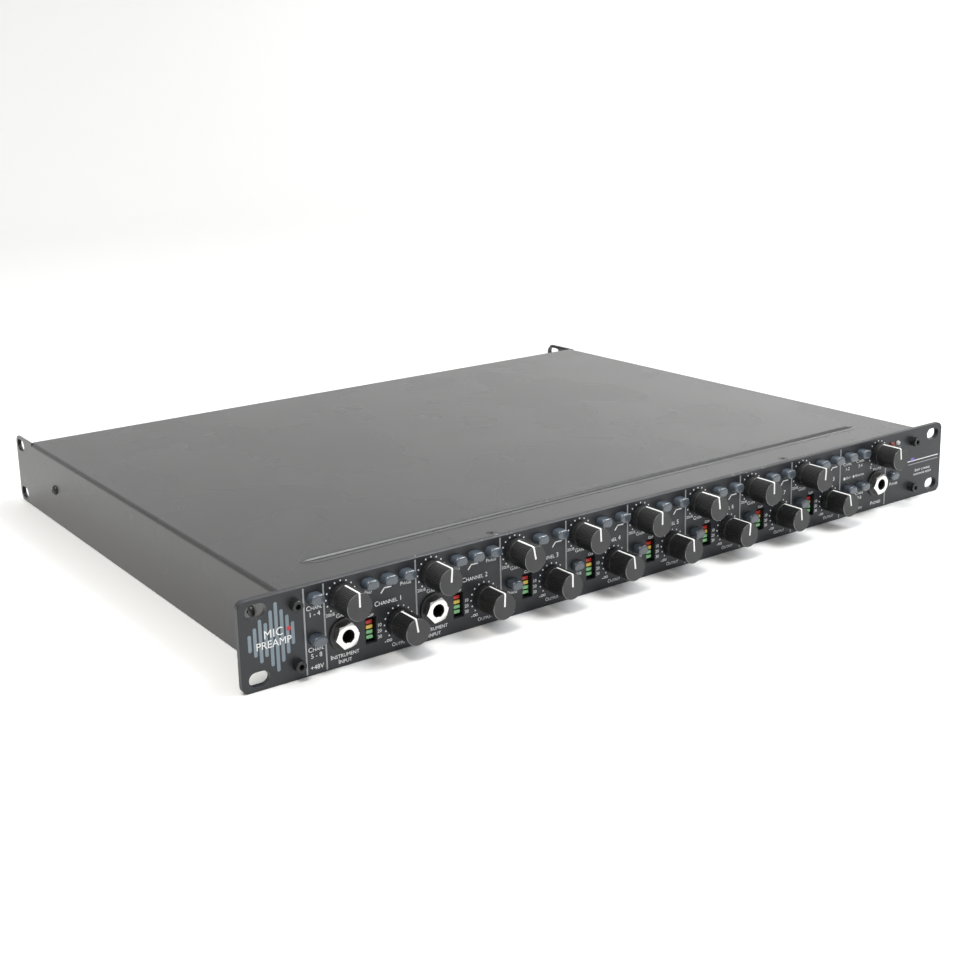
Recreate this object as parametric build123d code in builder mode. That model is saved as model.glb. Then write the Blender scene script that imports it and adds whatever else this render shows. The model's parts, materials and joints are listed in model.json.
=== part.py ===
from build123d import *
import os

os.makedirs("parts", exist_ok=True)

# Eight-channel microphone preamp, one rack unit high, in millimetres.
# +X is to the right as seen from the front, +Y runs from the front panel to the rear, +Z is up.
# The origin is the centre of the four rack slots, on the back face of the front panel.

# ---- Front panel ----
panel_width, panel_height, panel_thick = 482.6, 43.6, 3.0
panel_corner_r, panel_edge = 3.6, 0.4
rack_pitch_x, rack_pitch_z = 465.1, 31.75
rack_slot_length, rack_slot_width = 10.6, 6.8
front_face = -panel_thick

# ---- Case: a U-shaped cover over an open tray, both bent from sheet ----
sheet = 1.2
case_width, case_rear = 442.0, 331.0
case_bottom, case_top = -panel_height / 2, 21.4
bend_r = 2.4
gap = 0.1
ear_end, ear_corner_r = 359.0, 4.5
ear_slot_length, ear_slot_width, ear_slot_inset = 12.6, 7.4, 8.4
skirt_bottom, floor_top = case_bottom + 0.3, case_bottom + sheet
tray_half = case_width / 2 - sheet - gap
inside_half = tray_half - sheet
tray_top = case_top - sheet - gap
lip_depth, corner_relief = 7.8, 1.3
groove_half_length, groove_half_width, groove_depth, groove_y = 194.5, 4.8, 1.2, 26.0
groove_point, groove_floor_half, groove_floor_point = 6.0, 0.2, 0.5
tab_width = 11.0

# ---- Screws that hold the case together ----
thread_r, tapped_r, screw_hole_r = 1.45, 1.5, 1.7
panel_screw_x, panel_screw_z = 213.4, 14.4
cap_head_r, cap_head_height, cap_shank = 2.75, 4.0, 8.0
cap_socket_r, cap_socket_depth = 1.45, 2.4
cover_screw_x, cover_screw_y, cover_shank = (-99.4, 106.95), 4.0, 3.4
sunk_head_r, sunk_head_depth, sunk_hole_r = 2.55, 1.1, 2.7
side_screw_y, side_screw_z, side_shank = 290.0, 0.0, 7.0
round_head_r, round_head_height, round_head_taper = 3.0, 1.8, 24
cross_length, cross_width, cross_depth = 2.8, 0.6, 0.8

# ---- Layout of the front: two wide channels, then six narrow ones, then the monitor section ----
channel_count, wide_count = 8, 2
first_channel_x, wide_pitch, narrow_pitch = -198.5, 49.55, 41.27
upper_row_z, lower_row_z = 15.5, -4.4
gain_z, output_z, meter_z, jack_z = 12.2, -7.5, -8.0, -5.9
gain_offset, jack_offset = 9.0, 9.6
output_offset, meter_offset = (39.3, 31.8), (23.95, 16.2)
pad_offset, lowcut_offset, phase_offset = (23.3, 23.5), (33.6, 36.0), (43.9, 6.9)
phones_knob_x, phones_jack_x = 181.6, 180.8
phantom_x, monitor_x = -203.6, (154.6, 166.0)
power_x, power_z = 195.8, -4.0
lamp_x, lamp_z, lamp_r = (194.0, 199.3), 15.8, 1.5

# ---- Knobs and potentiometers ----
knob_r, knob_back, knob_front = 6.75, front_face - 0.9, front_face - 16.8
knob_recess_r, knob_recess_depth, knob_edge = 5.7, 3.6, 0.3
knob_bore_r, knob_bore_end = 3.02, knob_front + 2.5
pointer_width, pointer_depth = 0.9, 0.3
shaft_r, shaft_play, shaft_front, shaft_back = 3.0, 0.05, knob_front + 2.8, 6.0
bushing_r, bushing_front, bushing_bore_end, pot_hole_r = 3.5, front_face - 3.2, 6.5, 3.6
pot_width, pot_height, pot_front, pot_back = 9.5, 10.0, 0.6, 9.0
pot_leg, pot_leg_pitch, pot_legs = 0.8, 2.5, 3
pot_nut_flats, pot_nut_thick = 9.0, 1.8

# ---- Push buttons and their switches ----
cap_length, cap_height, cap_proud, cap_round = 7.2, 5.0, 5.5, 0.5
cap_clear, cap_back, latched_depth = 0.2, 1.5, 2.5
plunger_width, plunger_height, plunger_end, plunger_grip = 3.8, 3.0, 12.0, 5.0
plunger_fit, plunger_slide = 0.02, 0.2
switch_width, switch_height, switch_front, switch_wall = 7.8, 7.0, 8.0, 1.0
board_y, board_thick = 16.0, 1.6
control_board_width, control_board_height, control_board_z = 414.8, 37.6, -1.0

# ---- Level meters ----
window_width, window_height = 6.1, 12.7
led_width, led_height, led_pitch, led_count, led_corner_r = 3.7, 2.0, 2.5, 4, 0.4
meter_face, led_face, lamp_face = -1.0, -1.5, front_face - 0.3

# ---- Jack sockets ----
jack_bore_r, jack_thread_r, jack_flange_r = 3.2, 4.75, 7.9
jack_nut_flats, jack_nut_thick = 11.2, 2.8
jack_flange_thick, jack_front = 1.0, front_face - 4.3
jack_body, jack_body_end, jack_bore_end, jack_body_clear = 15.0, 30.0, 26.0, 0.5
jack_nut_turn = 20

# ---- Rear panel connectors ----
mic_x0, mic_pitch, mic_hole_r = -199.0, 27.2, 11.2
mic_flange_width, mic_flange_height, mic_flange_thick = 26.0, 31.0, 2.0
mic_bore_r, mic_insert_r, mic_insert_base = 9.6, 7.9, 2.0
mic_insert_front, mic_shell_end, mic_insert_end = case_rear + 1.0, 308.0, 305.9
mic_contact_r, mic_contact_ring, mic_contact_depth = 1.4, 4.0, 9.0
mic_screw_x, mic_screw_z, mic_screw_r, mic_screw_height = 9.5, 12.0, 2.2, 0.9
line_x0, line_pitch, line_front = 16.5, 16.2, case_rear + 4.2
line_collar_r, line_collar_thick, line_bore_depth = 6.8, 2.4, 28.0
line_width, line_height, line_depth = 12.0, 13.0, 26.0
optic_x, optic_size, optic_front, optic_depth = (150.5, 164.5), 10.0, case_rear + 3.0, 18.0
inlet_x, inlet_width, inlet_height, inlet_thick, inlet_body = 194.0, 30.0, 25.0, 2.0, 22.0
inlet_hole_width, inlet_hole_height = 27.2, 20.4
inlet_mouth_width, inlet_mouth_height, inlet_depth = 24.6, 16.8, 17.5
blade_thick, blade_height, blade_length = 2.0, 4.0, 12.5
blade_points = [(inlet_x - 7.0, -2.0), (inlet_x, 2.0), (inlet_x + 7.0, -2.0)]
flange_corner_r = 2.0

# ---- Inside ----
main_board_left, main_board_right = -205.0, 136.0
main_board_z, main_board_front, main_board_back = -13.0, 30.0, 292.0
top_of_board = main_board_z + board_thick
pillar_x, pillar_y, pillar_r = (-190.0, 0.0, 125.0), (40.0, 280.0), 3.0
pillar_tip_r, pillar_tip, board_hole_r = 1.5, 2.4, 1.7
input_transformer, input_row_y = (16.0, 20.0, 12.0), 62.0
capacitor_r, capacitor_height, capacitor_y = 4.0, 14.0, 90.0
tube_holder, supply_board = (22.0, 8.0, 22.0), (60.0, 34.0, 4.0)
supply_x, supply_y, supply_can_r, supply_can_height = 60.0, 190.0, 8.0, 24.0
tube_r, tube_length, tube_end_r, tube_axis_z = 10.5, 46.0, 6.0, top_of_board + 11.5
tube_tip_r, tube_tip_end_r, tube_tip_length = 2.2, 0.6, 5.0
tube_x, tube_holder_y, tube_start_y = (-150.0, -105.0, -60.0, -15.0), 145.0, 149.1
toroid_x, toroid_y, toroid_r, toroid_height, toroid_round = 176.0, 225.0, 33.0, 30.0, 5.0
post_r, post_hole_r, plate_r, plate_thick = 3.9, 4.2, 20.0, 1.6


def facing_front(y):
    """Sketch plane across the unit at depth y: local x is X, local y is Z, extrudes to the front."""
    return Plane.XZ.offset(-y)


def channel_left(n):
    """X of the left edge of channel n, counted from 0."""
    return first_channel_x + min(n, wide_count) * wide_pitch + max(n - wide_count, 0) * narrow_pitch


def is_wide(n):
    return n < wide_count


standing = (Align.CENTER, Align.CENTER, Align.MIN)
hanging = (Align.CENTER, Align.CENTER, Align.MAX)


def channel_point(n, offsets, z):
    """Point of a control of channel n; offsets are from its left edge, in a wide and in a narrow channel."""
    wide_offset, narrow_offset = offsets
    return (channel_left(n) + (wide_offset if is_wide(n) else narrow_offset), z)


channels = range(channel_count)
gain_points = [(channel_left(n) + gain_offset, gain_z) for n in channels]
output_points = [channel_point(n, output_offset, output_z) for n in channels]
meter_points = [channel_point(n, meter_offset, meter_z) for n in channels]
pad_points = [channel_point(n, pad_offset, upper_row_z) for n in channels]
lowcut_points = [channel_point(n, lowcut_offset, upper_row_z) for n in channels]
phase_points = [channel_point(n, phase_offset, upper_row_z if is_wide(n) else lower_row_z) for n in channels]
jack_points = [(channel_left(n) + jack_offset, jack_z) for n in range(wide_count)] + [(phones_jack_x, jack_z)]
lamp_points = [(x, lamp_z) for x in lamp_x]

# Each knob is stored at the turn its pointer shows, in degrees clockwise from upright.
gain_turns = (0, 5, -11, -3, 0, -8, -2, 3)
output_turns = (-9, 3, 0, -7, -4, 5, -6, -12)
knobs = {f"gain_knob_{n + 1}": (gain_points[n], gain_turns[n]) for n in channels}
knobs |= {f"output_knob_{n + 1}": (output_points[n], output_turns[n]) for n in channels}
knobs["phones_knob"] = ((phones_knob_x, gain_z), -7)

buttons = {}
for n in channels:
    buttons[f"pad_button_{n + 1}"] = pad_points[n]
    buttons[f"lowcut_button_{n + 1}"] = lowcut_points[n]
    buttons[f"phase_button_{n + 1}"] = phase_points[n]
for n, z in enumerate((upper_row_z, lower_row_z)):
    buttons[f"phantom_button_{n + 1}"] = (phantom_x, z)
    for side, x in enumerate(monitor_x):
        buttons[f"monitor_button_{2 * n + side + 1}"] = (x, z)
buttons["power_button"] = (power_x, power_z)
latched_in = ("phase_button_4", "power_button")

pot_points = [point for point, _ in knobs.values()]
panel_screws = [(sx * panel_screw_x, sz * panel_screw_z) for sx in (-1, 1) for sz in (-1, 1)]
mic_points = [(mic_x0 + n * mic_pitch, 0.0) for n in channels]
line_points = [(line_x0 + n * line_pitch, 0.0) for n in channels]
optic_points = [(x, 0.0) for x in optic_x]


def finish(part, name):
    """Label one finished piece and write it."""
    part.part.label = name
    export_step(part.part, f"parts/{name}.step")


def finish_group(solids, name):
    """Write solids that touch but are separate pieces of metal or plastic as one node."""
    export_step(Compound(label=name, children=[solid.part for solid in solids]), f"parts/{name}.step")


# Front panel: one plate with every opening cut through it
with BuildPart() as front_panel:
    with BuildSketch(facing_front(0)):
        RectangleRounded(panel_width, panel_height, panel_corner_r)
        with GridLocations(rack_pitch_x, rack_pitch_z, 2, 2):
            SlotOverall(rack_slot_length, rack_slot_width, mode=Mode.SUBTRACT)
        with Locations(*pot_points):
            Circle(pot_hole_r, mode=Mode.SUBTRACT)
        with Locations(*buttons.values()):
            SlotOverall(cap_length + 2 * cap_clear, cap_height + 2 * cap_clear, mode=Mode.SUBTRACT)
        with Locations(*meter_points):
            Rectangle(window_width, window_height, mode=Mode.SUBTRACT)
        with Locations(*jack_points):
            Circle(jack_thread_r + gap, mode=Mode.SUBTRACT)
        with Locations(*lamp_points):
            Circle(lamp_r + gap, mode=Mode.SUBTRACT)
        with Locations(*panel_screws):
            Circle(screw_hole_r, mode=Mode.SUBTRACT)
    extrude(amount=panel_thick)
    front_outline = front_panel.faces().sort_by(Axis.Y)[0].outer_wire().edges()
    chamfer(front_outline, panel_edge)
finish(front_panel, "front_panel")


def ear(bottom, top):
    """Rear ear: flat plate in the plane of the side, with two slots for a rear rack support."""
    with BuildPart() as plate:
        with BuildSketch(Plane.YZ):
            with Locations(((case_rear + ear_end) / 2 - 1.0, (bottom + top) / 2)):
                outline = Rectangle(ear_end - case_rear + 2.0, top - bottom)
            fillet(outline.vertices().group_by(Axis.X)[-1], ear_corner_r)
            for sz in (-1, 1):
                with Locations((ear_end - ear_slot_inset, sz * rack_pitch_z / 2)):
                    SlotOverall(ear_slot_length, ear_slot_width, mode=Mode.SUBTRACT)
        extrude(amount=sheet)
    return plate.part


def long_hexagon(half_length, half_width, tip):
    """Corners of a long hexagon: straight sides that run to a point at each end."""
    straight = half_length - tip
    corners = [(-half_length, 0), (-straight, half_width), (straight, half_width)]
    return corners + [(-x, -y) for x, y in corners]


def pressed_groove(top):
    """Solid the shape of a shallow V-shaped valley with pointed ends, from height top down."""
    with BuildPart() as valley:
        with BuildSketch(Plane.XY.offset(top)):
            Polygon(*long_hexagon(groove_half_length, groove_half_width, groove_point), align=None)
        with BuildSketch(Plane.XY.offset(top - groove_depth)):
            floor_half_length = groove_half_length - groove_point
            Polygon(*long_hexagon(floor_half_length, groove_floor_half, groove_floor_point), align=None)
        loft(ruled=True)
    return valley.part.moved(Location((0, groove_y, 0)))


# Top cover: top and both sides bent from one sheet, with ears reaching past the rear panel
with BuildPart() as top_cover:
    with BuildSketch(facing_front(case_rear)):
        with Locations((0, (skirt_bottom + case_top) / 2)):
            outer = Rectangle(case_width, case_top - skirt_bottom)
        fillet(outer.vertices().group_by(Axis.Y)[-1], bend_r)
        with Locations((0, (skirt_bottom + case_top) / 2 - sheet)):
            Rectangle(case_width - 2 * sheet, case_top - skirt_bottom, mode=Mode.SUBTRACT)
    extrude(amount=case_rear - gap)
    for sx in (-1, 1):
        inside = top_cover.edges().filter_by(Axis.Y).sort_by_distance(
            (sx * (case_width / 2 - sheet), case_rear / 2, case_top - sheet))[0]
        fillet(inside, bend_r - sheet)
    with Locations((case_width / 2 - sheet, 0, 0), (-case_width / 2, 0, 0)):
        add(ear(skirt_bottom, case_top))
    add(pressed_groove(case_top - sheet))
    add(pressed_groove(case_top), mode=Mode.SUBTRACT)
    for x in cover_screw_x:
        with Locations(Location((x, cover_screw_y, case_top))):
            CounterSinkHole(radius=screw_hole_r, counter_sink_radius=sunk_hole_r)
    with Locations(Plane(origin=(0, side_screw_y, side_screw_z), z_dir=(1, 0, 0))):
        Hole(radius=screw_hole_r)
finish(top_cover, "top_cover")

# Chassis tray: five sheet pieces welded together, with press-in pillars and a post
with BuildPart() as tray_floor:
    with BuildSketch(Plane.XY.offset(case_bottom)):
        with Locations((0, case_rear / 2)):
            Rectangle(2 * tray_half, case_rear)
    extrude(amount=sheet)

with BuildPart() as tray_sides:
    for x in (tray_half - sheet, -tray_half):
        with BuildSketch(Plane.YZ.offset(x)):
            with Locations((case_rear / 2, (floor_top + tray_top) / 2)):
                Rectangle(case_rear, tray_top - floor_top)
        extrude(amount=sheet)
    with Locations((tray_half - sheet, 0, 0), (-tray_half, 0, 0)):
        add(ear(floor_top, tray_top))
    for sx in (-1, 1):
        with BuildSketch(facing_front(case_rear)):
            top_corner = (sx * tray_half, tray_top)
            Polygon(top_corner, (sx * (tray_half - corner_relief), tray_top),
                    (sx * tray_half, tray_top - corner_relief), align=None)
        extrude(amount=case_rear, mode=Mode.SUBTRACT)
    with Locations(Plane(origin=(0, side_screw_y, side_screw_z), z_dir=(1, 0, 0))):
        Hole(radius=tapped_r)

with BuildPart() as rear_wall:
    with BuildSketch(facing_front(case_rear)):
        with Locations((0, (floor_top + tray_top) / 2)):
            Rectangle(2 * inside_half, tray_top - floor_top)
        with Locations(*mic_points):
            Circle(mic_hole_r, mode=Mode.SUBTRACT)
        with Locations(*line_points):
            Circle(jack_thread_r + gap, mode=Mode.SUBTRACT)
        with Locations(*optic_points):
            Rectangle(optic_size + 2 * gap, optic_size + 2 * gap, mode=Mode.SUBTRACT)
        with Locations((inlet_x, 0)):
            Rectangle(inlet_hole_width, inlet_hole_height, mode=Mode.SUBTRACT)
    extrude(amount=sheet)

with BuildPart() as front_frame:
    with BuildSketch(facing_front(sheet)):
        for sx in (-1, 1):
            with Locations((sx * (inside_half - tab_width / 2), (floor_top + tray_top) / 2)):
                Rectangle(tab_width, tray_top - floor_top)
        with Locations(*panel_screws):
            Circle(tapped_r, mode=Mode.SUBTRACT)
    extrude(amount=sheet)
    with BuildSketch(Plane.XY.offset(tray_top - sheet)):
        with Locations((0, lip_depth / 2)):
            Rectangle(2 * inside_half, lip_depth)
        with Locations(*[(x, cover_screw_y) for x in cover_screw_x]):
            Circle(tapped_r, mode=Mode.SUBTRACT)
    extrude(amount=sheet)

with BuildPart() as tray_pillars:
    with Locations(*[(x, y, floor_top) for x in pillar_x for y in pillar_y]):
        Cylinder(pillar_r, main_board_z - floor_top, align=standing)
    with Locations(*[(x, y, main_board_z) for x in pillar_x for y in pillar_y]):
        Cylinder(pillar_tip_r, board_thick + pillar_tip, align=standing)
    with Locations((toroid_x, toroid_y, floor_top)):
        Cylinder(post_r, toroid_height + 1.0, align=standing)
finish_group((tray_floor, tray_sides, rear_wall, front_frame, tray_pillars), "chassis_tray")


def socket_screw():
    """Cap screw with a hexagon socket, standing on the panel's front face and pointing inwards."""
    with BuildPart() as screw:
        with BuildSketch(facing_front(front_face)):
            Circle(cap_head_r)
        extrude(amount=cap_head_height)
        with BuildSketch(facing_front(front_face - cap_head_height)):
            RegularPolygon(cap_socket_r, 6)
        extrude(amount=-cap_socket_depth, mode=Mode.SUBTRACT)
        with BuildSketch(facing_front(front_face)):
            Circle(thread_r)
        extrude(amount=-cap_shank)
    return screw.part


# Screws that hold the case together: panel, cover top and cover sides
with BuildPart() as casing_screws:
    with Locations(*[(x, 0, z) for x, z in panel_screws]):
        add(socket_screw())
    for x in cover_screw_x:
        with Locations((x, cover_screw_y, case_top - sunk_head_depth)):
            Cone(thread_r, sunk_head_r, sunk_head_depth, align=standing)
            Cylinder(thread_r, cover_shank - sunk_head_depth, align=hanging)
        with Locations((x, cover_screw_y, case_top)):
            Box(cross_length, cross_width, cross_depth, align=hanging, mode=Mode.SUBTRACT)
            Box(cross_width, cross_length, cross_depth, align=hanging, mode=Mode.SUBTRACT)
    for sx in (-1, 1):
        head = Plane(origin=(sx * case_width / 2, side_screw_y, side_screw_z), z_dir=(sx, 0, 0))
        with BuildSketch(head):
            Circle(round_head_r)
        extrude(amount=round_head_height, taper=round_head_taper)
        with BuildSketch(head):
            Circle(thread_r)
        extrude(amount=-side_shank)
        with BuildSketch(head.offset(round_head_height)):
            Rectangle(cross_length, cross_width)
            Rectangle(cross_width, cross_length)
        extrude(amount=-cross_depth, mode=Mode.SUBTRACT)
finish(casing_screws, "casing_screws")

# Control board: the upright circuit board with its 31 switches and 17 potentiometers
with BuildPart() as control_board:
    with BuildSketch(facing_front(board_y + board_thick)):
        with Locations((0, control_board_z)):
            Rectangle(control_board_width, control_board_height)
        with Locations(*jack_points):
            clear_body = jack_body + 2 * jack_body_clear
            Rectangle(clear_body, clear_body, mode=Mode.SUBTRACT)
    extrude(amount=board_thick)
    with BuildSketch(facing_front(board_y)):
        with Locations(*buttons.values()):
            Rectangle(switch_width, switch_height)
    extrude(amount=board_y - switch_front)
    with BuildSketch(facing_front(board_y - switch_wall)):
        with Locations(*buttons.values()):
            Rectangle(plunger_width + 2 * plunger_slide, plunger_height + 2 * plunger_slide)
    extrude(amount=board_y - switch_wall - switch_front, mode=Mode.SUBTRACT)
    with BuildSketch(facing_front(board_y)):
        with Locations(*pot_points):
            with GridLocations(pot_leg_pitch, 0, pot_legs, 1):
                Rectangle(pot_leg, pot_leg)
    extrude(amount=board_y - pot_back)
    with BuildSketch(facing_front(pot_back)):
        with Locations(*pot_points):
            Rectangle(pot_width, pot_height)
    extrude(amount=pot_back - pot_front)
    with BuildSketch(facing_front(pot_front)):
        with Locations(*pot_points):
            Circle(bushing_r)
    extrude(amount=pot_front - bushing_front)
    with BuildSketch(facing_front(bushing_bore_end)):
        with Locations(*pot_points):
            Circle(shaft_r + shaft_play)
    extrude(amount=bushing_bore_end - bushing_front, mode=Mode.SUBTRACT)
finish(control_board, "control_board")

# Level meters: eight black blocks with four light bars each, and two round lamps
with BuildPart() as level_meters:
    with BuildSketch(facing_front(board_y)):
        with Locations(*meter_points):
            Rectangle(window_width - 2 * gap, window_height - 2 * gap)
    extrude(amount=board_y - meter_face)
    for x, z in meter_points:
        with BuildSketch(facing_front(meter_face)):
            with Locations((x, z)):
                with GridLocations(0, led_pitch, 1, led_count):
                    RectangleRounded(led_width, led_height, led_corner_r)
        extrude(amount=meter_face - led_face)
    for x, z in lamp_points:
        with BuildSketch(facing_front(board_y)):
            with Locations((x, z)):
                Circle(lamp_r)
        extrude(amount=board_y - lamp_face)
        with Locations((x, lamp_face, z)):
            Sphere(lamp_r)
finish(level_meters, "level_meters")

# Front jack sockets: body behind the panel, threaded neck and black flange in front of it
with BuildPart() as front_jacks:
    with BuildSketch(facing_front(jack_body_end)):
        with Locations(*jack_points):
            RectangleRounded(jack_body, jack_body, 1.0)
    extrude(amount=jack_body_end)
    with BuildSketch(facing_front(0)):
        with Locations(*jack_points):
            Circle(jack_thread_r)
    extrude(amount=-jack_front)
    with BuildSketch(facing_front(front_face)):
        with Locations(*jack_points):
            Circle(jack_flange_r)
    extrude(amount=jack_flange_thick)
    with BuildSketch(facing_front(jack_bore_end)):
        with Locations(*jack_points):
            Circle(jack_bore_r)
    extrude(amount=jack_bore_end - jack_front, mode=Mode.SUBTRACT)
finish(front_jacks, "front_jacks")

# Panel nuts: a bright hexagon nut on each jack and a small one on each potentiometer
with BuildPart() as panel_nuts:
    nut_back = front_face - jack_flange_thick
    with BuildSketch(facing_front(nut_back)):
        with Locations(*jack_points):
            RegularPolygon(jack_nut_flats / 2, 6, major_radius=False, rotation=jack_nut_turn)
            Circle(jack_thread_r + gap, mode=Mode.SUBTRACT)
    extrude(amount=jack_nut_thick)
    with BuildSketch(facing_front(front_face)):
        with Locations(*pot_points):
            RegularPolygon(pot_nut_flats / 2, 6, major_radius=False)
            Circle(bushing_r + gap, mode=Mode.SUBTRACT)
    extrude(amount=pot_nut_thick)
finish(panel_nuts, "panel_nuts")

# Main board: circuit board on the tray's pillars, with its transformers, capacitors and power stage
with BuildPart() as main_board:
    with BuildSketch(Plane.XY.offset(main_board_z)):
        middle = ((main_board_left + main_board_right) / 2, (main_board_front + main_board_back) / 2)
        with Locations(middle):
            Rectangle(main_board_right - main_board_left, main_board_back - main_board_front)
        with Locations(*[(x, y) for x in pillar_x for y in pillar_y]):
            Circle(board_hole_r, mode=Mode.SUBTRACT)
    extrude(amount=board_thick)
    transformer_points = [(channel_left(n) + input_transformer[0] * 0.75, input_row_y) for n in channels]
    with Locations(*[(x, y, top_of_board) for x, y in transformer_points]):
        Box(*input_transformer, align=standing)
    with Locations(*[(x + side * 1.5 * capacitor_r + capacitor_r, capacitor_y, top_of_board)
                     for x, _ in transformer_points for side in (-1, 1)]):
        Cylinder(capacitor_r, capacitor_height, align=standing)
    with Locations(*[(x, tube_holder_y, top_of_board) for x in tube_x]):
        Box(*tube_holder, align=standing)
    with Locations((supply_x, supply_y, top_of_board)):
        Box(*supply_board, align=standing)
        with GridLocations(3.25 * supply_can_r, 7.5 * supply_can_r, 3, 2):
            Cylinder(supply_can_r, supply_can_height, align=standing)
finish(main_board, "main_board")


def glass_tube():
    """Glass envelope lying along Y, rounded at its far end, with a sealed tip."""
    with BuildPart() as tube:
        with BuildSketch(facing_front(0)):
            Circle(tube_r)
        extrude(amount=-tube_length)
        fillet(tube.edges().group_by(Axis.Y)[-1], tube_end_r)
        with Locations(Location((0, tube_length - sheet, 0), (-90, 0, 0))):
            Cone(tube_tip_r, tube_tip_end_r, tube_tip_length, align=standing)
    return tube.part


# Vacuum tubes: four glass envelopes lying flat, each plugged into its holder
with BuildPart() as vacuum_tubes:
    with Locations(*[(x, tube_start_y, tube_axis_z) for x in tube_x]):
        add(glass_tube())
finish(vacuum_tubes, "vacuum_tubes")

# Power transformer: a ring of wound core, held by a dished plate on the tray's post
with BuildPart() as power_transformer:
    core_bottom = floor_top + 0.5
    with Locations((toroid_x, toroid_y, core_bottom)):
        Cylinder(toroid_r, toroid_height, align=standing)
    fillet(power_transformer.edges(), toroid_round)
    with Locations((toroid_x, toroid_y, core_bottom + toroid_height)):
        Cylinder(plate_r, plate_thick, align=standing)
    with Locations((toroid_x, toroid_y, core_bottom)):
        Cylinder(post_hole_r, toroid_height + plate_thick, align=standing, mode=Mode.SUBTRACT)
finish(power_transformer, "power_transformer")

# Microphone sockets: a flanged shell, and inside it an insert with three contact holes
with BuildPart() as mic_shells:
    with BuildSketch(facing_front(case_rear + mic_flange_thick)):
        with Locations(*mic_points):
            RectangleRounded(mic_flange_width, mic_flange_height, flange_corner_r)
    extrude(amount=mic_flange_thick)
    with BuildSketch(facing_front(case_rear)):
        with Locations(*mic_points):
            Circle(mic_hole_r - gap)
    extrude(amount=case_rear - mic_shell_end)
    with BuildSketch(facing_front(case_rear + mic_flange_thick)):
        with Locations(*mic_points):
            Circle(mic_bore_r)
    extrude(amount=case_rear + mic_flange_thick - mic_shell_end, mode=Mode.SUBTRACT)

with BuildPart() as mic_inserts:
    with BuildSketch(facing_front(mic_insert_front)):
        with Locations(*mic_points):
            Circle(mic_insert_r)
    extrude(amount=mic_insert_front - mic_insert_end)
    with BuildSketch(facing_front(mic_shell_end - gap)):
        with Locations(*mic_points):
            Circle(mic_hole_r - gap)
    extrude(amount=mic_insert_base)
    with BuildSketch(facing_front(mic_insert_front)):
        with Locations(*mic_points):
            with PolarLocations(mic_contact_ring, 3, start_angle=90):
                Circle(mic_contact_r)
    extrude(amount=mic_contact_depth, mode=Mode.SUBTRACT)

with BuildPart() as mic_flange_screws:
    with BuildSketch(facing_front(case_rear + mic_flange_thick + mic_screw_height)):
        with Locations(*mic_points):
            with Locations((-mic_screw_x, mic_screw_z), (mic_screw_x, -mic_screw_z)):
                Circle(mic_screw_r)
    extrude(amount=mic_screw_height)

# Line jacks and optical ports
with BuildPart() as line_jacks:
    with BuildSketch(facing_front(case_rear - sheet)):
        with Locations(*line_points):
            Rectangle(line_width, line_height)
    extrude(amount=line_depth)
    with BuildSketch(facing_front(line_front)):
        with Locations(*line_points):
            Circle(jack_thread_r)
    extrude(amount=line_front - case_rear + sheet)
    with BuildSketch(facing_front(case_rear + line_collar_thick)):
        with Locations(*line_points):
            Circle(line_collar_r)
    extrude(amount=line_collar_thick)
    with BuildSketch(facing_front(line_front)):
        with Locations(*line_points):
            Circle(jack_bore_r)
    extrude(amount=line_bore_depth, mode=Mode.SUBTRACT)

with BuildPart() as optical_ports:
    with BuildSketch(facing_front(optic_front)):
        with Locations(*optic_points):
            Rectangle(optic_size, optic_size)
    extrude(amount=optic_depth)

# Mains inlet: a flanged cup with three blades standing on its floor
with BuildPart() as mains_inlet:
    with BuildSketch(facing_front(case_rear + inlet_thick)):
        with Locations((inlet_x, 0)):
            RectangleRounded(inlet_width, inlet_height, flange_corner_r)
    extrude(amount=inlet_thick)
    with BuildSketch(facing_front(case_rear)):
        with Locations((inlet_x, 0)):
            RectangleRounded(inlet_hole_width - 2 * gap, inlet_hole_height - 2 * gap, 1.0)
    extrude(amount=inlet_body)
    with BuildSketch(facing_front(case_rear + inlet_thick)):
        with Locations((inlet_x, 0)):
            RectangleRounded(inlet_mouth_width, inlet_mouth_height, flange_corner_r)
    extrude(amount=inlet_depth, mode=Mode.SUBTRACT)

with BuildPart() as inlet_blades:
    blade_root = case_rear + inlet_thick - inlet_depth
    with BuildSketch(facing_front(blade_root + blade_length)):
        with Locations(*blade_points):
            Rectangle(blade_thick, blade_height)
    extrude(amount=blade_length)
rear_parts = (mic_shells, mic_inserts, mic_flange_screws, line_jacks, optical_ports, mains_inlet, inlet_blades)
finish_group(rear_parts, "rear_connectors")


def knob(name, point, turn):
    """Round control knob with a sunk pointer line, and its shaft as a second solid."""
    x, z = point
    with BuildPart() as cap:
        with BuildSketch(facing_front(knob_back)):
            Circle(knob_r)
        extrude(amount=knob_back - knob_front)
        chamfer(cap.edges().group_by(Axis.Y)[0], knob_edge)
        with BuildSketch(facing_front(knob_back)):
            Circle(knob_recess_r)
        extrude(amount=knob_recess_depth, mode=Mode.SUBTRACT)
        with BuildSketch(facing_front(knob_back)):
            Circle(knob_bore_r)
        extrude(amount=knob_back - knob_bore_end, mode=Mode.SUBTRACT)
        with BuildSketch(facing_front(knob_front)):
            with Locations((0, knob_r / 2)):
                Rectangle(pointer_width, knob_r)
        extrude(amount=-pointer_depth, mode=Mode.SUBTRACT)
    with BuildPart() as shaft:
        with BuildSketch(facing_front(shaft_back)):
            Circle(shaft_r)
        extrude(amount=shaft_back - shaft_front)
    with BuildPart() as turned:
        with Locations(Location((x, 0, z), (0, turn, 0))):
            add(cap.part)
            add(shaft.part)
    finish(turned, name)


for name, (point, turn) in knobs.items():
    knob(name, point, turn)


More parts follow.
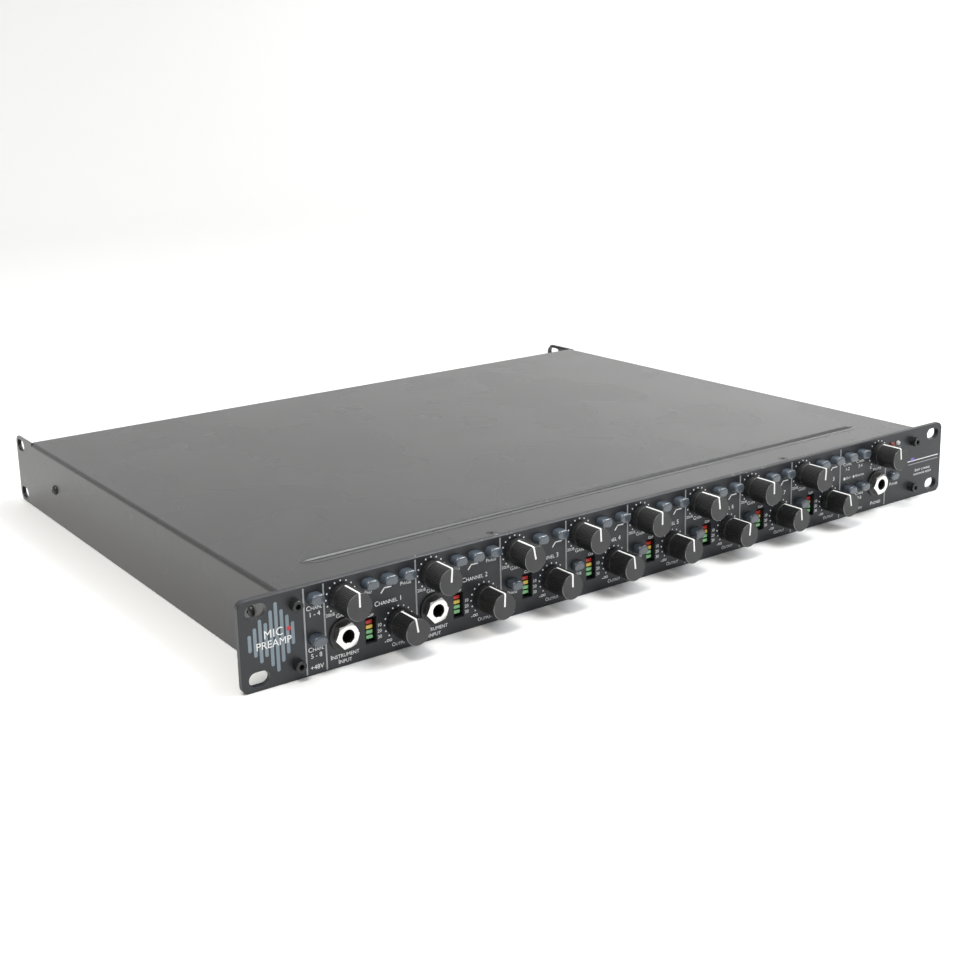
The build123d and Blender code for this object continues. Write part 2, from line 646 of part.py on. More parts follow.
def button(name, point):
    """Push button: an oval cap through the panel and, as a second solid, its switch plunger."""
    x, z = point
    pushed = latched_depth if name in latched_in else 0.0
    cap_front = front_face - cap_proud + pushed
    with BuildPart() as cap:
        with BuildSketch(facing_front(cap_back + pushed)):
            SlotOverall(cap_length, cap_height)
        extrude(amount=cap_back + pushed - cap_front)
        fillet(cap.edges().group_by(Axis.Y)[0], cap_round)
        with BuildSketch(facing_front(cap_back + pushed)):
            Rectangle(plunger_width + 2 * plunger_fit, plunger_height + 2 * plunger_fit)
        extrude(amount=plunger_grip + 2 * plunger_fit, mode=Mode.SUBTRACT)
    with BuildPart() as plunger:
        with BuildSketch(facing_front(plunger_end + pushed)):
            Rectangle(plunger_width, plunger_height)
        extrude(amount=plunger_end - cap_back + plunger_grip)
    with BuildPart() as placed:
        with Locations((x, 0, z)):
            add(cap.part)
            add(plunger.part)
    finish(placed, name)


for name, point in buttons.items():
    button(name, point)
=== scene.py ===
# %% [markdown]
# # A rack microphone preamp, finished in Blender
#
# The engineering model of this unit already exists: a folded steel case, a slotted front panel, 17 knobs
# and 31 push buttons, each in its true place and size. This notebook loads that model as a fixed frame and
# builds the looks around it: paint, ribbed knobs, smoky buttons, bright nuts, printed legends and light.
#
# The places of the parts are read from the frame. Small hardware and legends add their own few dimensions.

# %% Load the frame
import json
import math

import bmesh
import bpy
from mathutils import Matrix, Vector


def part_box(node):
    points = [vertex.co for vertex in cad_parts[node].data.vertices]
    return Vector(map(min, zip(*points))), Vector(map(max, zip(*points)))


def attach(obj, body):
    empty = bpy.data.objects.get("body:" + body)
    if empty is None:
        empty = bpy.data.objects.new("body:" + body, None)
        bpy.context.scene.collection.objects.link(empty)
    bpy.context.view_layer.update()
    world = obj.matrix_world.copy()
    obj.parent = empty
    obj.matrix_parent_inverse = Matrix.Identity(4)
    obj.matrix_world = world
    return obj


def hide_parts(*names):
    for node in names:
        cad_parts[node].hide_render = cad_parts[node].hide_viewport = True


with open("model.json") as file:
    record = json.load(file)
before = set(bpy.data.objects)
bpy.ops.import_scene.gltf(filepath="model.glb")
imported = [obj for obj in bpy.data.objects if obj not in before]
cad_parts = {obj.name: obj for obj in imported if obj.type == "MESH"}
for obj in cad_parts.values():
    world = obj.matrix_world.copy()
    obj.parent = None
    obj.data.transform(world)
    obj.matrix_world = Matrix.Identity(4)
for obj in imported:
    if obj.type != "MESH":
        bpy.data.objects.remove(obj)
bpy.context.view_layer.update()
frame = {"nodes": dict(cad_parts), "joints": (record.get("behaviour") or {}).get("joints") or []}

# %% [markdown]
# ## Working in millimetres
#
# Blender counts in metres, but a maker of small hardware thinks in millimetres. Every mesh below is
# modelled in millimetres and scaled once, at the end, when it becomes an object. `box_of` reads a frame
# part's box in the same unit. `solids_of` splits a frame part that is a group, such as the screws, into its
# separate solids and gives one box for each. The frame's meshes are loose triangles, so a copy is merged.

# %% Boxes from the frame
MM = 0.001


class Box:
    """Low and high corner and centre of something in the frame, in millimetres."""

    def __init__(self, low, high):
        self.low, self.high = Vector(low), Vector(high)
        self.centre = (self.low + self.high) / 2
        self.size = self.high - self.low


def box_of(node):
    low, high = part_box(node)
    return Box(low / MM, high / MM)


def solids_of(node):
    bm = bmesh.new()
    bm.from_mesh(frame["nodes"][node].data)
    bmesh.ops.remove_doubles(bm, verts=bm.verts, dist=0.002 * MM)
    boxes, unseen = [], set(bm.verts)
    while unseen:
        todo = [unseen.pop()]
        low, high = todo[0].co.copy(), todo[0].co.copy()
        while todo:
            vert = todo.pop()
            low = Vector(map(min, low, vert.co))
            high = Vector(map(max, high, vert.co))
            for edge in vert.link_edges:
                other = edge.other_vert(vert)
                if other in unseen:
                    unseen.discard(other)
                    todo.append(other)
        boxes.append(Box(low / MM, high / MM))
    bm.free()
    return sorted(boxes, key=lambda box: (box.centre.x, box.centre.z))


panel = box_of("front_panel")
cover = box_of("top_cover")
tray = box_of("chassis_tray")
face_y = panel.low.y
print("panel", [round(v, 2) for v in panel.size], "cover", [round(v, 2) for v in cover.size])

# %% [markdown]
# ## From mesh to finished piece
#
# Three small helpers end every piece the same way. `place` turns a mesh that was modelled standing on
# the XY plane, with Z as its axis, so that Z points out of the front panel (or out of the rear wall), and
# puts it in place. `piece` scales the mesh to metres, shades it smooth below a crease angle, gives it its
# material and tells the frame which body it rides on.

# %% Helpers for pieces
FRONT = Matrix.Rotation(math.radians(90), 4, "X")
REAR = Matrix.Rotation(math.radians(180), 4, "Z") @ FRONT


def place(bm, x, y, z, facing=FRONT, turn=0.0):
    """Move a mesh whose axis is Z to a point of the unit; turn is in degrees about its own axis."""
    spin = Matrix.Rotation(math.radians(-turn), 4, "Z")
    bmesh.ops.transform(bm, matrix=Matrix.Translation((x, y, z)) @ facing @ spin, verts=bm.verts)
    return bm


def piece(bm, name, materials, body="chassis", crease=32):
    bmesh.ops.scale(bm, vec=(MM, MM, MM), verts=bm.verts)
    mesh = bpy.data.meshes.new(name)
    bm.to_mesh(mesh)
    bm.free()
    mesh.shade_smooth()
    mesh.set_sharp_from_angle(angle=math.radians(crease))
    for material in materials if isinstance(materials, list) else [materials]:
        mesh.materials.append(material)
    obj = bpy.data.objects.new(name, mesh)
    bpy.context.scene.collection.objects.link(obj)
    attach(obj, body)
    return obj


def wear(node, material):
    """Give a frame part a finish, without touching its mesh."""
    for material_slot in frame["nodes"][node].material_slots:
        material_slot.material = material


# %% [markdown]
# ## Rings, walls and bevels
#
# Nearly all the hardware on this unit is round or prismatic: knobs, nuts, sockets, screws. One way to make
# them all is to start from a closed ring of vertices and grow it with `extrude_edge_only`, giving each new
# ring its height and its scale. `grow` does one such step and returns the new ring, so a turned part reads
# like the lathe cuts that make it. `cap` closes the last ring.

# %% Ring tools
def ring(bm, radius, height=0.0, segments=64):
    verts = bmesh.ops.create_circle(bm, cap_ends=False, radius=radius, segments=segments)["verts"]
    bmesh.ops.translate(bm, vec=(0, 0, height), verts=verts)
    return list({edge for vert in verts for edge in vert.link_edges})


def verts_of(edges):
    return list({vert for edge in edges for vert in edge.verts})


def grow(bm, edges, height, scale=1.0):
    """Extrude a ring to a height, and scale it about the axis."""
    made = bmesh.ops.extrude_edge_only(bm, edges=edges)["geom"]
    new_edges = [item for item in made if isinstance(item, bmesh.types.BMEdge)]
    verts = verts_of(new_edges)
    new_edges = [edge for edge in new_edges if all(vert in verts for vert in edge.verts)]
    shift = height - verts[0].co.z
    bmesh.ops.translate(bm, vec=(0, 0, shift), verts=verts)
    bmesh.ops.scale(bm, vec=(scale, scale, 1), verts=verts)
    return new_edges


def turned(bm, profile, segments=64):
    """Turn a closed part on a lathe: profile is a list of (radius, height), from one end to the other."""
    radius, first_height = profile[0]
    start = edges = ring(bm, radius, first_height, segments)
    for next_radius, height in profile[1:]:
        edges = grow(bm, edges, height, next_radius / radius)
        radius = next_radius
    return start, edges


def cap(bm, edges):
    bmesh.ops.edgeloop_fill(bm, edges=edges)


def outwards(bm):
    bmesh.ops.remove_doubles(bm, verts=bm.verts, dist=0.0005)
    bmesh.ops.recalc_face_normals(bm, faces=bm.faces)
    return bm


def solid_turned(profile, segments=64):
    """A closed turned part, capped at both ends of its profile."""
    bm = bmesh.new()
    start, end = turned(bm, profile, segments)
    cap(bm, start)
    cap(bm, end)
    return outwards(bm)


# %% [markdown]
# ## Materials from a few nodes
#
# Real finishes are never one flat colour. Each material here is a Principled shader with a little noise in
# its colour, roughness and bump. `Finish` wraps the node tree: it makes the shader, reads Object coordinates
# (in metres, the same frame as the part) and has one method for each node that is used more than once.

# %% The Finish helper
class Finish:
    def __init__(self, name, color, roughness, metallic=0.0, **sockets):
        self.material = bpy.data.materials.new(name)
        self.material.use_nodes = True
        self.tree = self.material.node_tree
        self.shader = self.tree.nodes["Principled BSDF"]
        self.color, self.roughness = (*color, 1.0), roughness
        self.set("Base Color", self.color)
        self.set("Roughness", roughness)
        self.set("Metallic", metallic)
        for socket, value in sockets.items():
            self.set(socket.replace("_", " "), value)
        self.place = self.node("ShaderNodeTexCoord").outputs["Object"]

    def node(self, kind, **values):
        made = self.tree.nodes.new(kind)
        for name, value in values.items():
            setattr(made, name, value)
        return made

    def link(self, source, target):
        self.tree.links.new(source, target)

    def set(self, socket, value):
        self.shader.inputs[socket].default_value = value

    def noise(self, grain_mm, detail=2.0, stretch=(1, 1, 1)):
        """Noise whose grain is about so many millimetres, from 0 to 1."""
        mapping = self.node("ShaderNodeMapping")
        mapping.inputs["Scale"].default_value = stretch
        self.link(self.place, mapping.inputs["Vector"])
        noise = self.node("ShaderNodeTexNoise")
        noise.inputs["Scale"].default_value = 1 / (grain_mm * MM)
        noise.inputs["Detail"].default_value = detail
        self.link(mapping.outputs["Vector"], noise.inputs["Vector"])
        return noise.outputs["Fac"]

    def math(self, operation, a, b=0.0):
        made = self.node("ShaderNodeMath", operation=operation)
        for socket, value in zip(made.inputs, (a, b)):
            if isinstance(value, (int, float)):
                socket.default_value = value
            else:
                self.link(value, socket)
        return made.outputs[0]

    def between(self, value, low, high, to_low=0.0, to_high=1.0):
        """Map a value from one span to another, clamped."""
        made = self.node("ShaderNodeMapRange", interpolation_type="SMOOTHSTEP")
        names = ("From Min", "From Max", "To Min", "To Max")
        for socket, number in zip(names, (low, high, to_low, to_high)):
            made.inputs[socket].default_value = number
        self.link(value, made.inputs["Value"])
        return made.outputs["Result"]

    def axis(self, name):
        made = self.node("ShaderNodeSeparateXYZ")
        self.link(self.place, made.inputs["Vector"])
        return made.outputs[name]

    def mix_color(self, factor, first, second):
        made = self.node("ShaderNodeMix", data_type="RGBA")
        for socket, value in zip((made.inputs[6], made.inputs[7]), (first, second)):
            if isinstance(value, tuple):
                socket.default_value = value if len(value) == 4 else (*value, 1.0)
            else:
                self.link(value, socket)
        self.link(factor, made.inputs[0])
        return made.outputs[2]

    def vary(self, factor, darker=0.8, lighter=1.2):
        """Let a pattern shift the base colour a little."""
        low = tuple(channel * darker for channel in self.color[:3])
        high = tuple(channel * lighter for channel in self.color[:3])
        mixed = self.mix_color(factor, low, high)
        self.link(mixed, self.shader.inputs["Base Color"])
        return mixed

    def roughen(self, factor, low, high):
        self.link(self.between(factor, 0.3, 0.7, low, high), self.shader.inputs["Roughness"])

    def bump(self, height, depth_mm):
        made = self.node("ShaderNodeBump")
        made.inputs["Strength"].default_value = 1.0
        made.inputs["Distance"].default_value = depth_mm * MM
        self.link(height, made.inputs["Height"])
        self.link(made.outputs["Normal"], self.shader.inputs["Normal"])


# %% [markdown]
# ## The stage
#
# A small product shows best on a white sweep: a floor that curves up into a wall, so that no horizon shows.
# The sweep matters more than the lamps here. The case is satin black, and a black surface seen at a low
# angle shows mostly what it reflects: its grey top is the white wall behind it. The wall ends at half its
# usual height, because the rounded edge of the case mirrors what is above it, and a dark edge there is what
# makes the bend readable.

# %% Floor and wall
def white_sweep():
    bm = bmesh.new()
    floor_z, front_y, wall_y = tray.low.z, -2500.0, 2600.0
    bend, height, half = 700.0, 1500.0, 4000.0
    path = [(front_y, 0.0), (wall_y - bend, 0.0)]
    steps = 24
    for step in range(1, steps + 1):
        angle = math.radians(90) * step / steps
        path.append((wall_y - bend + bend * math.sin(angle), bend - bend * math.cos(angle)))
    path.append((wall_y, height))
    verts = [bm.verts.new((-half, y, floor_z + z)) for y, z in path]
    edges = [bm.edges.new(pair) for pair in zip(verts, verts[1:])]
    made = bmesh.ops.extrude_edge_only(bm, edges=edges)["geom"]
    moved = [item for item in made if isinstance(item, bmesh.types.BMVert)]
    bmesh.ops.translate(bm, vec=(2 * half, 0, 0), verts=moved)
    bmesh.ops.scale(bm, vec=(MM, MM, MM), verts=bm.verts)
    mesh = bpy.data.meshes.new("white_sweep")
    bm.to_mesh(mesh)
    bm.free()
    mesh.shade_smooth()
    sweep = bpy.data.objects.new("white_sweep", mesh)
    bpy.context.scene.collection.objects.link(sweep)
    paper = Finish("sweep_paper", (0.86, 0.86, 0.855), 0.6)
    paper.vary(paper.noise(900.0), 0.985, 1.01)
    mesh.materials.append(paper.material)


white_sweep()

# %% [markdown]
# ## Light and camera
#
# Two softboxes hang over the unit, one to the right and one to the left, so that every knob has two soft
# shadows under it and every button a crisp stroke of light. The right one is a trace bluer. A third lamp
# washes the right part of the wall and faces away from the unit, so only its light on the wall shows in the
# case. The world is dimmer near the horizon than overhead, as a studio is, which keeps black parts black.
# The camera stands to the left, a little above, and is turned by its three angles: heading, tilt and roll.

# %% Light
scene = bpy.context.scene
scene.view_settings.view_transform = "Standard"


def studio_world(low, high, horizon=0.25, overhead=0.8):
    """A grey room whose ceiling is brighter than its walls."""
    scene.world = bpy.data.worlds.new("studio")
    scene.world.use_nodes = True
    tree = scene.world.node_tree
    where = tree.nodes.new("ShaderNodeTexCoord")
    split = tree.nodes.new("ShaderNodeSeparateXYZ")
    ramp = tree.nodes.new("ShaderNodeMapRange")
    for socket, number in zip(("From Min", "From Max", "To Min", "To Max"), (horizon, overhead, low, high)):
        ramp.inputs[socket].default_value = number
    tree.links.new(where.outputs["Generated"], split.inputs["Vector"])
    tree.links.new(split.outputs["Z"], ramp.inputs["Value"])
    tree.links.new(ramp.outputs["Result"], tree.nodes["Background"].inputs["Strength"])
    tree.nodes["Background"].inputs["Color"].default_value = (1.0, 1.0, 1.0, 1.0)


def softbox(name, at, towards, width, height, power, color=(1.0, 1.0, 1.0)):
    data = bpy.data.lights.new(name, "AREA")
    data.shape, data.size, data.size_y, data.energy = "RECTANGLE", width, height, power
    data.color = color
    lamp = bpy.data.objects.new(name, data)
    scene.collection.objects.link(lamp)
    lamp.location = at
    lamp.rotation_euler = (Vector(towards) - Vector(at)).to_track_quat("-Z", "Y").to_euler()
    return lamp


studio_world(0.45, 0.95)
softbox("right_softbox", (0.75, -0.35, 1.25), (0, 0.05, 0), 0.8, 0.5, 13.0, (0.95, 0.98, 1.0))
softbox("left_softbox", (-0.65, -0.25, 1.55), (0, 0.05, 0), 0.6, 0.5, 15.0, (1.0, 0.98, 0.94))
softbox("wall_wash", (3.9, 1.3, 2.3), (4.0, 2.6, 0.8), 2.8, 0.6, 70.0)

# %% Camera
heading, tilt, roll = math.radians(33.85), math.radians(13.34), math.radians(-1.80)
forward = Vector((math.sin(heading) * math.cos(tilt), math.cos(heading) * math.cos(tilt), -math.sin(tilt)))
level_right = Vector((math.cos(heading), -math.sin(heading), 0))
level_up = level_right.cross(forward)
right = level_right * math.cos(roll) + level_up * math.sin(roll)
up = -level_right * math.sin(roll) + level_up * math.cos(roll)
camera_data = bpy.data.cameras.new("camera")
camera_data.sensor_width, camera_data.lens = 36.0, 52.76
camera_data.shift_x, camera_data.shift_y = 0.042, -0.083
camera_data.clip_start = 0.05
camera = bpy.data.objects.new("camera", camera_data)
scene.collection.objects.link(camera)
camera.matrix_world = Matrix.Translation((-0.485, -0.529, 0.245)) @ Matrix(
    (right, up, -forward)).transposed().to_4x4()
scene.camera = camera
print("camera at", [round(v, 3) for v in camera.location])

# %% [markdown]
# ## Painted steel
#
# The cover and tray are folded from steel sheet and sprayed satin black. Up close such paint has a very
# fine pebble, which the bump carries, and a slow unevenness in gloss. A few faint scratches lie on the top
# where other gear has slid over it: a stretched noise, cut at a high level so that only its peaks are left,
# gives short thin marks.

# %% Case paint
def case_paint():
    paint = Finish("case_paint", (0.019, 0.019, 0.0195), 0.27, Specular_IOR_Level=0.6)
    cloud = paint.noise(70.0, 2.0)
    paint.roughen(cloud, 0.26, 0.285)
    marks = paint.between(paint.noise(7.0, 1.0, (0.18, 2.2, 1)), 0.80, 0.84)
    patches = paint.between(paint.noise(60.0, 1.0), 0.52, 0.62)
    scratch = paint.math("MULTIPLY", marks, patches)
    base = paint.vary(cloud, 0.94, 1.06)
    shown = paint.mix_color(scratch, base, (0.05, 0.05, 0.05))
    paint.link(shown, paint.shader.inputs["Base Color"])
    paint.bump(paint.noise(0.9, 2.0), 0.0015)
    return paint.material


paint = case_paint()
for node in ("top_cover", "chassis_tray"):
    wear(node, paint)

# %% [markdown]
# The stiffening groove is pressed with rounded shoulders and a steep inner wall. A thin skin in the groove
# gives it that section: one line of edges across the groove is extruded along it, and both its ends are
# drawn in to a point.

# %% Groove skin
groove_y, groove_half, groove_point = 26.0, 194.6, 6.1
skin_lift, skin_thick = 0.012, 0.08


def groove_skin():
    """Pressed section from shoulder to floor, with the case's top as zero height."""
    half = [(4.9, skin_lift), (3.4, 0.01), (2.6, -0.03), (2.2, -0.09), (1.52, -0.85), (1.2, -0.89)]
    section = half + [(-y, z) for y, z in reversed(half)]
    bm = bmesh.new()
    verts = [bm.verts.new((-groove_half, y, z)) for y, z in section]
    edges = [bm.edges.new(pair) for pair in zip(verts, verts[1:])]
    for x in (groove_point - groove_half, groove_half - groove_point, groove_half):
        made = bmesh.ops.extrude_edge_only(bm, edges=edges)["geom"]
        verts = [item for item in made if isinstance(item, bmesh.types.BMVert)]
        edges = [item for item in made if isinstance(item, bmesh.types.BMEdge)]
        edges = [edge for edge in edges if all(vert in verts for vert in edge.verts)]
        for vert in verts:
            vert.co.x = x
    tips = [vert for vert in bm.verts if abs(vert.co.x) > groove_half - 0.1]
    for vert in tips:
        vert.co.y *= 0.02
        vert.co.z = skin_lift
    bmesh.ops.solidify(bm, geom=bm.faces[:], thickness=skin_thick)
    return outwards(bm)


bm = groove_skin()
bmesh.ops.translate(bm, vec=(0, groove_y, cover.high.z), verts=bm.verts)
piece(bm, "groove_skin", paint, crease=24)

# %% [markdown]
# ## Front panel
#
# The panel is thicker plate with a finer and duller black. Its corners and edges are where racks rub it, so
# a mask built from the distance to the outline, broken up by noise, lets a little bright metal through.

# %% Panel black
def panel_black():
    black = Finish("panel_black", (0.0205, 0.0225, 0.0265), 0.42)
    cloud = black.noise(30.0, 3.0)
    base = black.vary(cloud, 0.85, 1.15)
    from_end = black.math("SUBTRACT", panel.high.x * MM, black.math("ABSOLUTE", black.axis("X")))
    from_edge = black.math("SUBTRACT", panel.high.z * MM, black.math("ABSOLUTE", black.axis("Z")))
    near = black.math("MINIMUM", from_end, from_edge)
    band = black.between(near, 0.15 * MM, 0.75 * MM, 1.0, 0.0)
    speck = black.between(black.noise(1.6, 3.0), 0.62, 0.70)
    where = black.between(black.noise(40.0, 1.0), 0.56, 0.66)
    chip = black.math("MULTIPLY", black.math("MULTIPLY", band, speck), where)
    shown = black.mix_color(chip, base, (0.42, 0.42, 0.41))
    black.link(shown, black.shader.inputs["Base Color"])
    black.roughen(cloud, 0.38, 0.46)
    black.bump(black.noise(0.35, 2.0), 0.004)
    return black.material


black_panel = panel_black()
wear("front_panel", black_panel)

# %% [markdown]
# ## Knobs
#
# Each knob is a moulded cap: a smooth skirt next to the panel, then a grip with straight ribs, a small
# bright bevel and a turned face. A white line lies on the grip and bends over the edge to the middle of the
# face.
#
# The ribs are real geometry. The ring has four vertices for each rib, and every second pair is pushed out,
# which gives flat crests and flat valleys. Turning leaves fine circles that stretch highlights along the
# radius, so the face's shader is anisotropic and its UV map runs round the axis: u follows the turn.
#
# The frame stores each knob at the turn that its pointer shows at rest. Its joint's range is centred on
# upright, so half the sum of the limits gives that turn.

# %% Knob finishes
def turn_at_rest(body):
    low, high = next(joint["range_deg"] for joint in frame["joints"] if joint["child"] == body)
    return -(low + high) / 2


def knob_grip():
    grip = Finish("knob_grip", (0.011, 0.011, 0.0115), 0.36)
    grip.roughen(grip.noise(2.0), 0.32, 0.42)
    grip.bump(grip.noise(0.25), 0.004)
    return grip.material


def knob_face():
    face = Finish("knob_face", (0.060, 0.060, 0.061), 0.30, 0.7, Anisotropic=0.85)
    tangent = face.node("ShaderNodeTangent", direction_type="UV_MAP", uv_map="turned")
    face.link(tangent.outputs["Tangent"], face.shader.inputs["Tangent"])
    face.vary(face.noise(0.4), 0.92, 1.08)
    return face.material


def pointer_white():
    white = Finish("pointer_white", (0.88, 0.88, 0.87), 0.45)
    white.vary(white.noise(0.5), 0.97, 1.0)
    return white.material


def knob_rim():
    rim = Finish("knob_rim", (0.20, 0.20, 0.20), 0.16, 0.9)
    rim.roughen(rim.noise(1.0), 0.12, 0.2)
    return rim.material


grip_black, face_grey, bright_rim, white_line = knob_grip(), knob_face(), knob_rim(), pointer_white()

# %% Knob cap
knob_box = box_of("gain_knob_1")
knob_radius = 6.75
knob_back, knob_front = 0.9, face_y - knob_box.low.y
skirt_top, bevel = 4.4, 0.42
rib_count, rib_depth = 42, 0.20
hollow_radius, hollow_depth = 5.7, 3.6
shaft_hole, shaft_room = 3.05, 2.5


def ribbed_cap():
    """Cap with its axis on Z and its height measured from the panel's front face."""
    bm = bmesh.new()
    edges = ring(bm, knob_radius - 0.25, knob_back, 4 * rib_count)
    back = edges
    edges = grow(bm, edges, knob_back + 0.2, knob_radius / (knob_radius - 0.25))
    edges = grow(bm, edges, skirt_top - 0.35)
    edges = grow(bm, edges, skirt_top - 0.1, (knob_radius - rib_depth) / knob_radius)
    edges = grow(bm, edges, skirt_top)
    around = sorted(verts_of(edges), key=lambda vert: math.atan2(vert.co.y, vert.co.x))
    crests = [vert for index, vert in enumerate(around) if index % 4 < 2]
    bmesh.ops.scale(bm, vec=(knob_radius / (knob_radius - rib_depth),) * 2 + (1,), verts=crests)
    edges = grow(bm, edges, knob_front - bevel)
    rim = grow(bm, edges, knob_front - bevel + 0.08, 0.985)
    for vert in verts_of(rim):
        flat = Vector((vert.co.x, vert.co.y, 0)).normalized() * (knob_radius - rib_depth)
        vert.co.x, vert.co.y = flat.x, flat.y
    grip_faces = set(bm.faces)
    face_radius = knob_radius - rib_depth - 0.22
    middle_radius = knob_radius - rib_depth - 0.07
    edges = grow(bm, rim, knob_front - 0.12, middle_radius / (knob_radius - rib_depth))
    edges = grow(bm, edges, knob_front, face_radius / middle_radius)
    for made in set(bm.faces) - grip_faces:
        made.material_index = 2
    rim_faces = set(bm.faces)
    for radius, dip in ((face_radius - 0.35, 0.0), (3.2, 0.05), (0.5, 0.11)):
        now = max(vert.co.xy.length for vert in verts_of(edges))
        edges = grow(bm, edges, knob_front - dip, radius / now)
    cap(bm, edges)
    for made in set(bm.faces) - rim_faces:
        made.material_index = 1
    edges = grow(bm, back, knob_back, hollow_radius / (knob_radius - 0.25))
    edges = grow(bm, edges, knob_back + hollow_depth)
    edges = grow(bm, edges, knob_back + hollow_depth, shaft_hole / hollow_radius)
    edges = grow(bm, edges, knob_front - shaft_room)
    cap(bm, edges)
    outwards(bm)
    turned_uv = bm.loops.layers.uv.new("turned")
    for made in bm.faces:
        middle = made.calc_center_median()
        base_angle = math.atan2(middle.y, middle.x)
        for loop in made.loops:
            x, y = loop.vert.co.xy
            off = math.atan2(y, x) - base_angle
            off = (off + math.pi) % (2 * math.pi) - math.pi
            loop[turned_uv].uv = ((base_angle + off) / (2 * math.pi), math.hypot(x, y) / knob_radius)
    return bm


def pointer_line():
    """Flat white bar on the grip, folded over the edge and down the face to its centre."""
    bm = bmesh.new()
    half, proud = 0.45, 0.06
    top, inner = knob_radius + proud, knob_radius - 0.5
    path = [(top, skirt_top), (top, knob_front - bevel), (top - bevel, knob_front + 0.02),
            (0.0, knob_front + 0.02)]
    under = [(0.0, knob_front - 0.4), (inner - bevel, knob_front - 0.4), (inner, knob_front - bevel - 0.3),
             (inner, skirt_top)]
    outline = [bm.verts.new((-half, radius, height)) for radius, height in path + under]
    side = bm.faces.new(outline)
    made = bmesh.ops.extrude_face_region(bm, geom=[side])["geom"]
    moved = [item for item in made if isinstance(item, bmesh.types.BMVert)]
    bmesh.ops.translate(bm, vec=(2 * half, 0, 0), verts=moved)
    return outwards(bm)


shaft_profile = [(2.7, -9.0), (3.0, -8.7), (3.0, knob_front - 3.1), (2.7, knob_front - 2.8)]
knob_nodes = [name for name in frame["nodes"] if name.endswith("_knob") or "_knob_" in name]
shaft_metal = Finish("shaft_metal", (0.62, 0.60, 0.56), 0.3, 1.0)
shaft_metal.roughen(shaft_metal.noise(1.0), 0.25, 0.38)
for name in knob_nodes:
    box, turn = box_of(name), turn_at_rest(name)
    where = (box.centre.x, face_y, box.centre.z)
    cap_mesh = place(ribbed_cap(), *where, turn=turn)
    shell = piece(cap_mesh, f"{name}_cap", [grip_black, face_grey, bright_rim], name, 24)
    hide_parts(name)
    piece(place(pointer_line(), *where, turn=turn), f"{name}_pointer", white_line, name)
    shaft = place(solid_turned(shaft_profile, 32), *where)
    piece(shaft, f"{name}_shaft", shaft_metal.material, name)
print(len(knob_nodes), "knobs")

# %% [markdown]
# ## Push buttons
#
# The buttons are cast in a smoky, glossy plastic, which a clear coat over a blue-grey base stands for. A
# stadium outline is made from a circle whose two halves are drawn apart. It is grown into a cap, and its
# front edge gets a generous round, which is where the lamp's crisp streak sits.

# %% Buttons
def button_tint():
    tint = Finish("button_tint", (0.060, 0.076, 0.095), 0.28, Coat_Weight=1.0, Coat_Roughness=0.06)
    tint.vary(tint.noise(9.0, 1.0), 0.93, 1.07)
    tint.roughen(tint.noise(4.0, 1.0), 0.28, 0.33)
    return tint.material


smoky = button_tint()
cap_depth, stem_width, stem_height = 10.0, 3.8, 3.0


def button_cap(length, height, front, back):
    bm = bmesh.new()
    radius = height / 2
    spread = (length - height) / 2
    edges = ring(bm, radius, back, 64)
    verts = verts_of(edges)
    for side in (-1, 1):
        half = [vert for vert in verts if vert.co.x * side > 0.001]
        bmesh.ops.translate(bm, vec=(side * spread, 0, 0), verts=half)
    start = edges
    edges = grow(bm, edges, front)
    cap(bm, start)
    cap(bm, edges)
    bmesh.ops.bevel(bm, geom=edges, offset=1.1, offset_type="OFFSET", segments=8, profile=0.5,
                    affect="EDGES", clamp_overlap=True, material=-1)
    return outwards(bm)


button_nodes = [name for name in frame["nodes"] if "_button" in name]
plunger_white = Finish("plunger_white", (0.70, 0.69, 0.66), 0.45)
plunger_white.vary(plunger_white.noise(1.0), 0.95, 1.0)
for name in button_nodes:
    box = box_of(name)
    front = face_y - box.low.y
    bm = button_cap(box.size.x, box.size.z, front - 0.15, front - cap_depth)
    shell = piece(place(bm, box.centre.x, face_y, box.centre.z), f"{name}_cap", smoky, name)
    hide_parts(name)
    stem = bmesh.new()
    bmesh.ops.create_cube(stem, size=1.0)
    stem_length = box.size.y - cap_depth
    bmesh.ops.scale(stem, vec=(stem_width, stem_height, stem_length), verts=stem.verts)
    bmesh.ops.bevel(stem, geom=stem.edges[:], offset=0.25, offset_type="OFFSET", segments=2, profile=0.5,
                    affect="EDGES", material=-1)
    place(stem, box.centre.x, box.high.y - stem_length / 2, box.centre.z)
    piece(stem, f"{name}_stem", plunger_white.material, name)
print(len(button_nodes), "buttons")

# %% [markdown]
# ## Hexagon nuts
#
# A real nut is a hexagonal bar with a cone turned on its end, so each corner falls away and each flat shows
# an arc. The outline is a six-sided ring, subdivided so that it matches the round hole one to one. Each
# vertex of its front edge is then lowered by how far it lies outside the cone.
#
# `bridge_loops` can cross its faces over between two loops that lie in one plane. So the hole's lower edge
# stands a hair above the foot, and the flat ring round the mouth is grown instead of bridged.

# %% Nut mesh
def hexagon_ring(bm, flats, height, per_side=8):
    """A ring whose vertices lie on a hexagon: each is moved out along its own radius."""
    edges = ring(bm, flats / 2, height, 6 * per_side)
    sixth = math.radians(60)
    for vert in verts_of(edges):
        off_flat = (math.atan2(vert.co.y, vert.co.x) + sixth / 2) % sixth - sixth / 2
        vert.co.x, vert.co.y = vert.co.xy / math.cos(off_flat)
    return edges


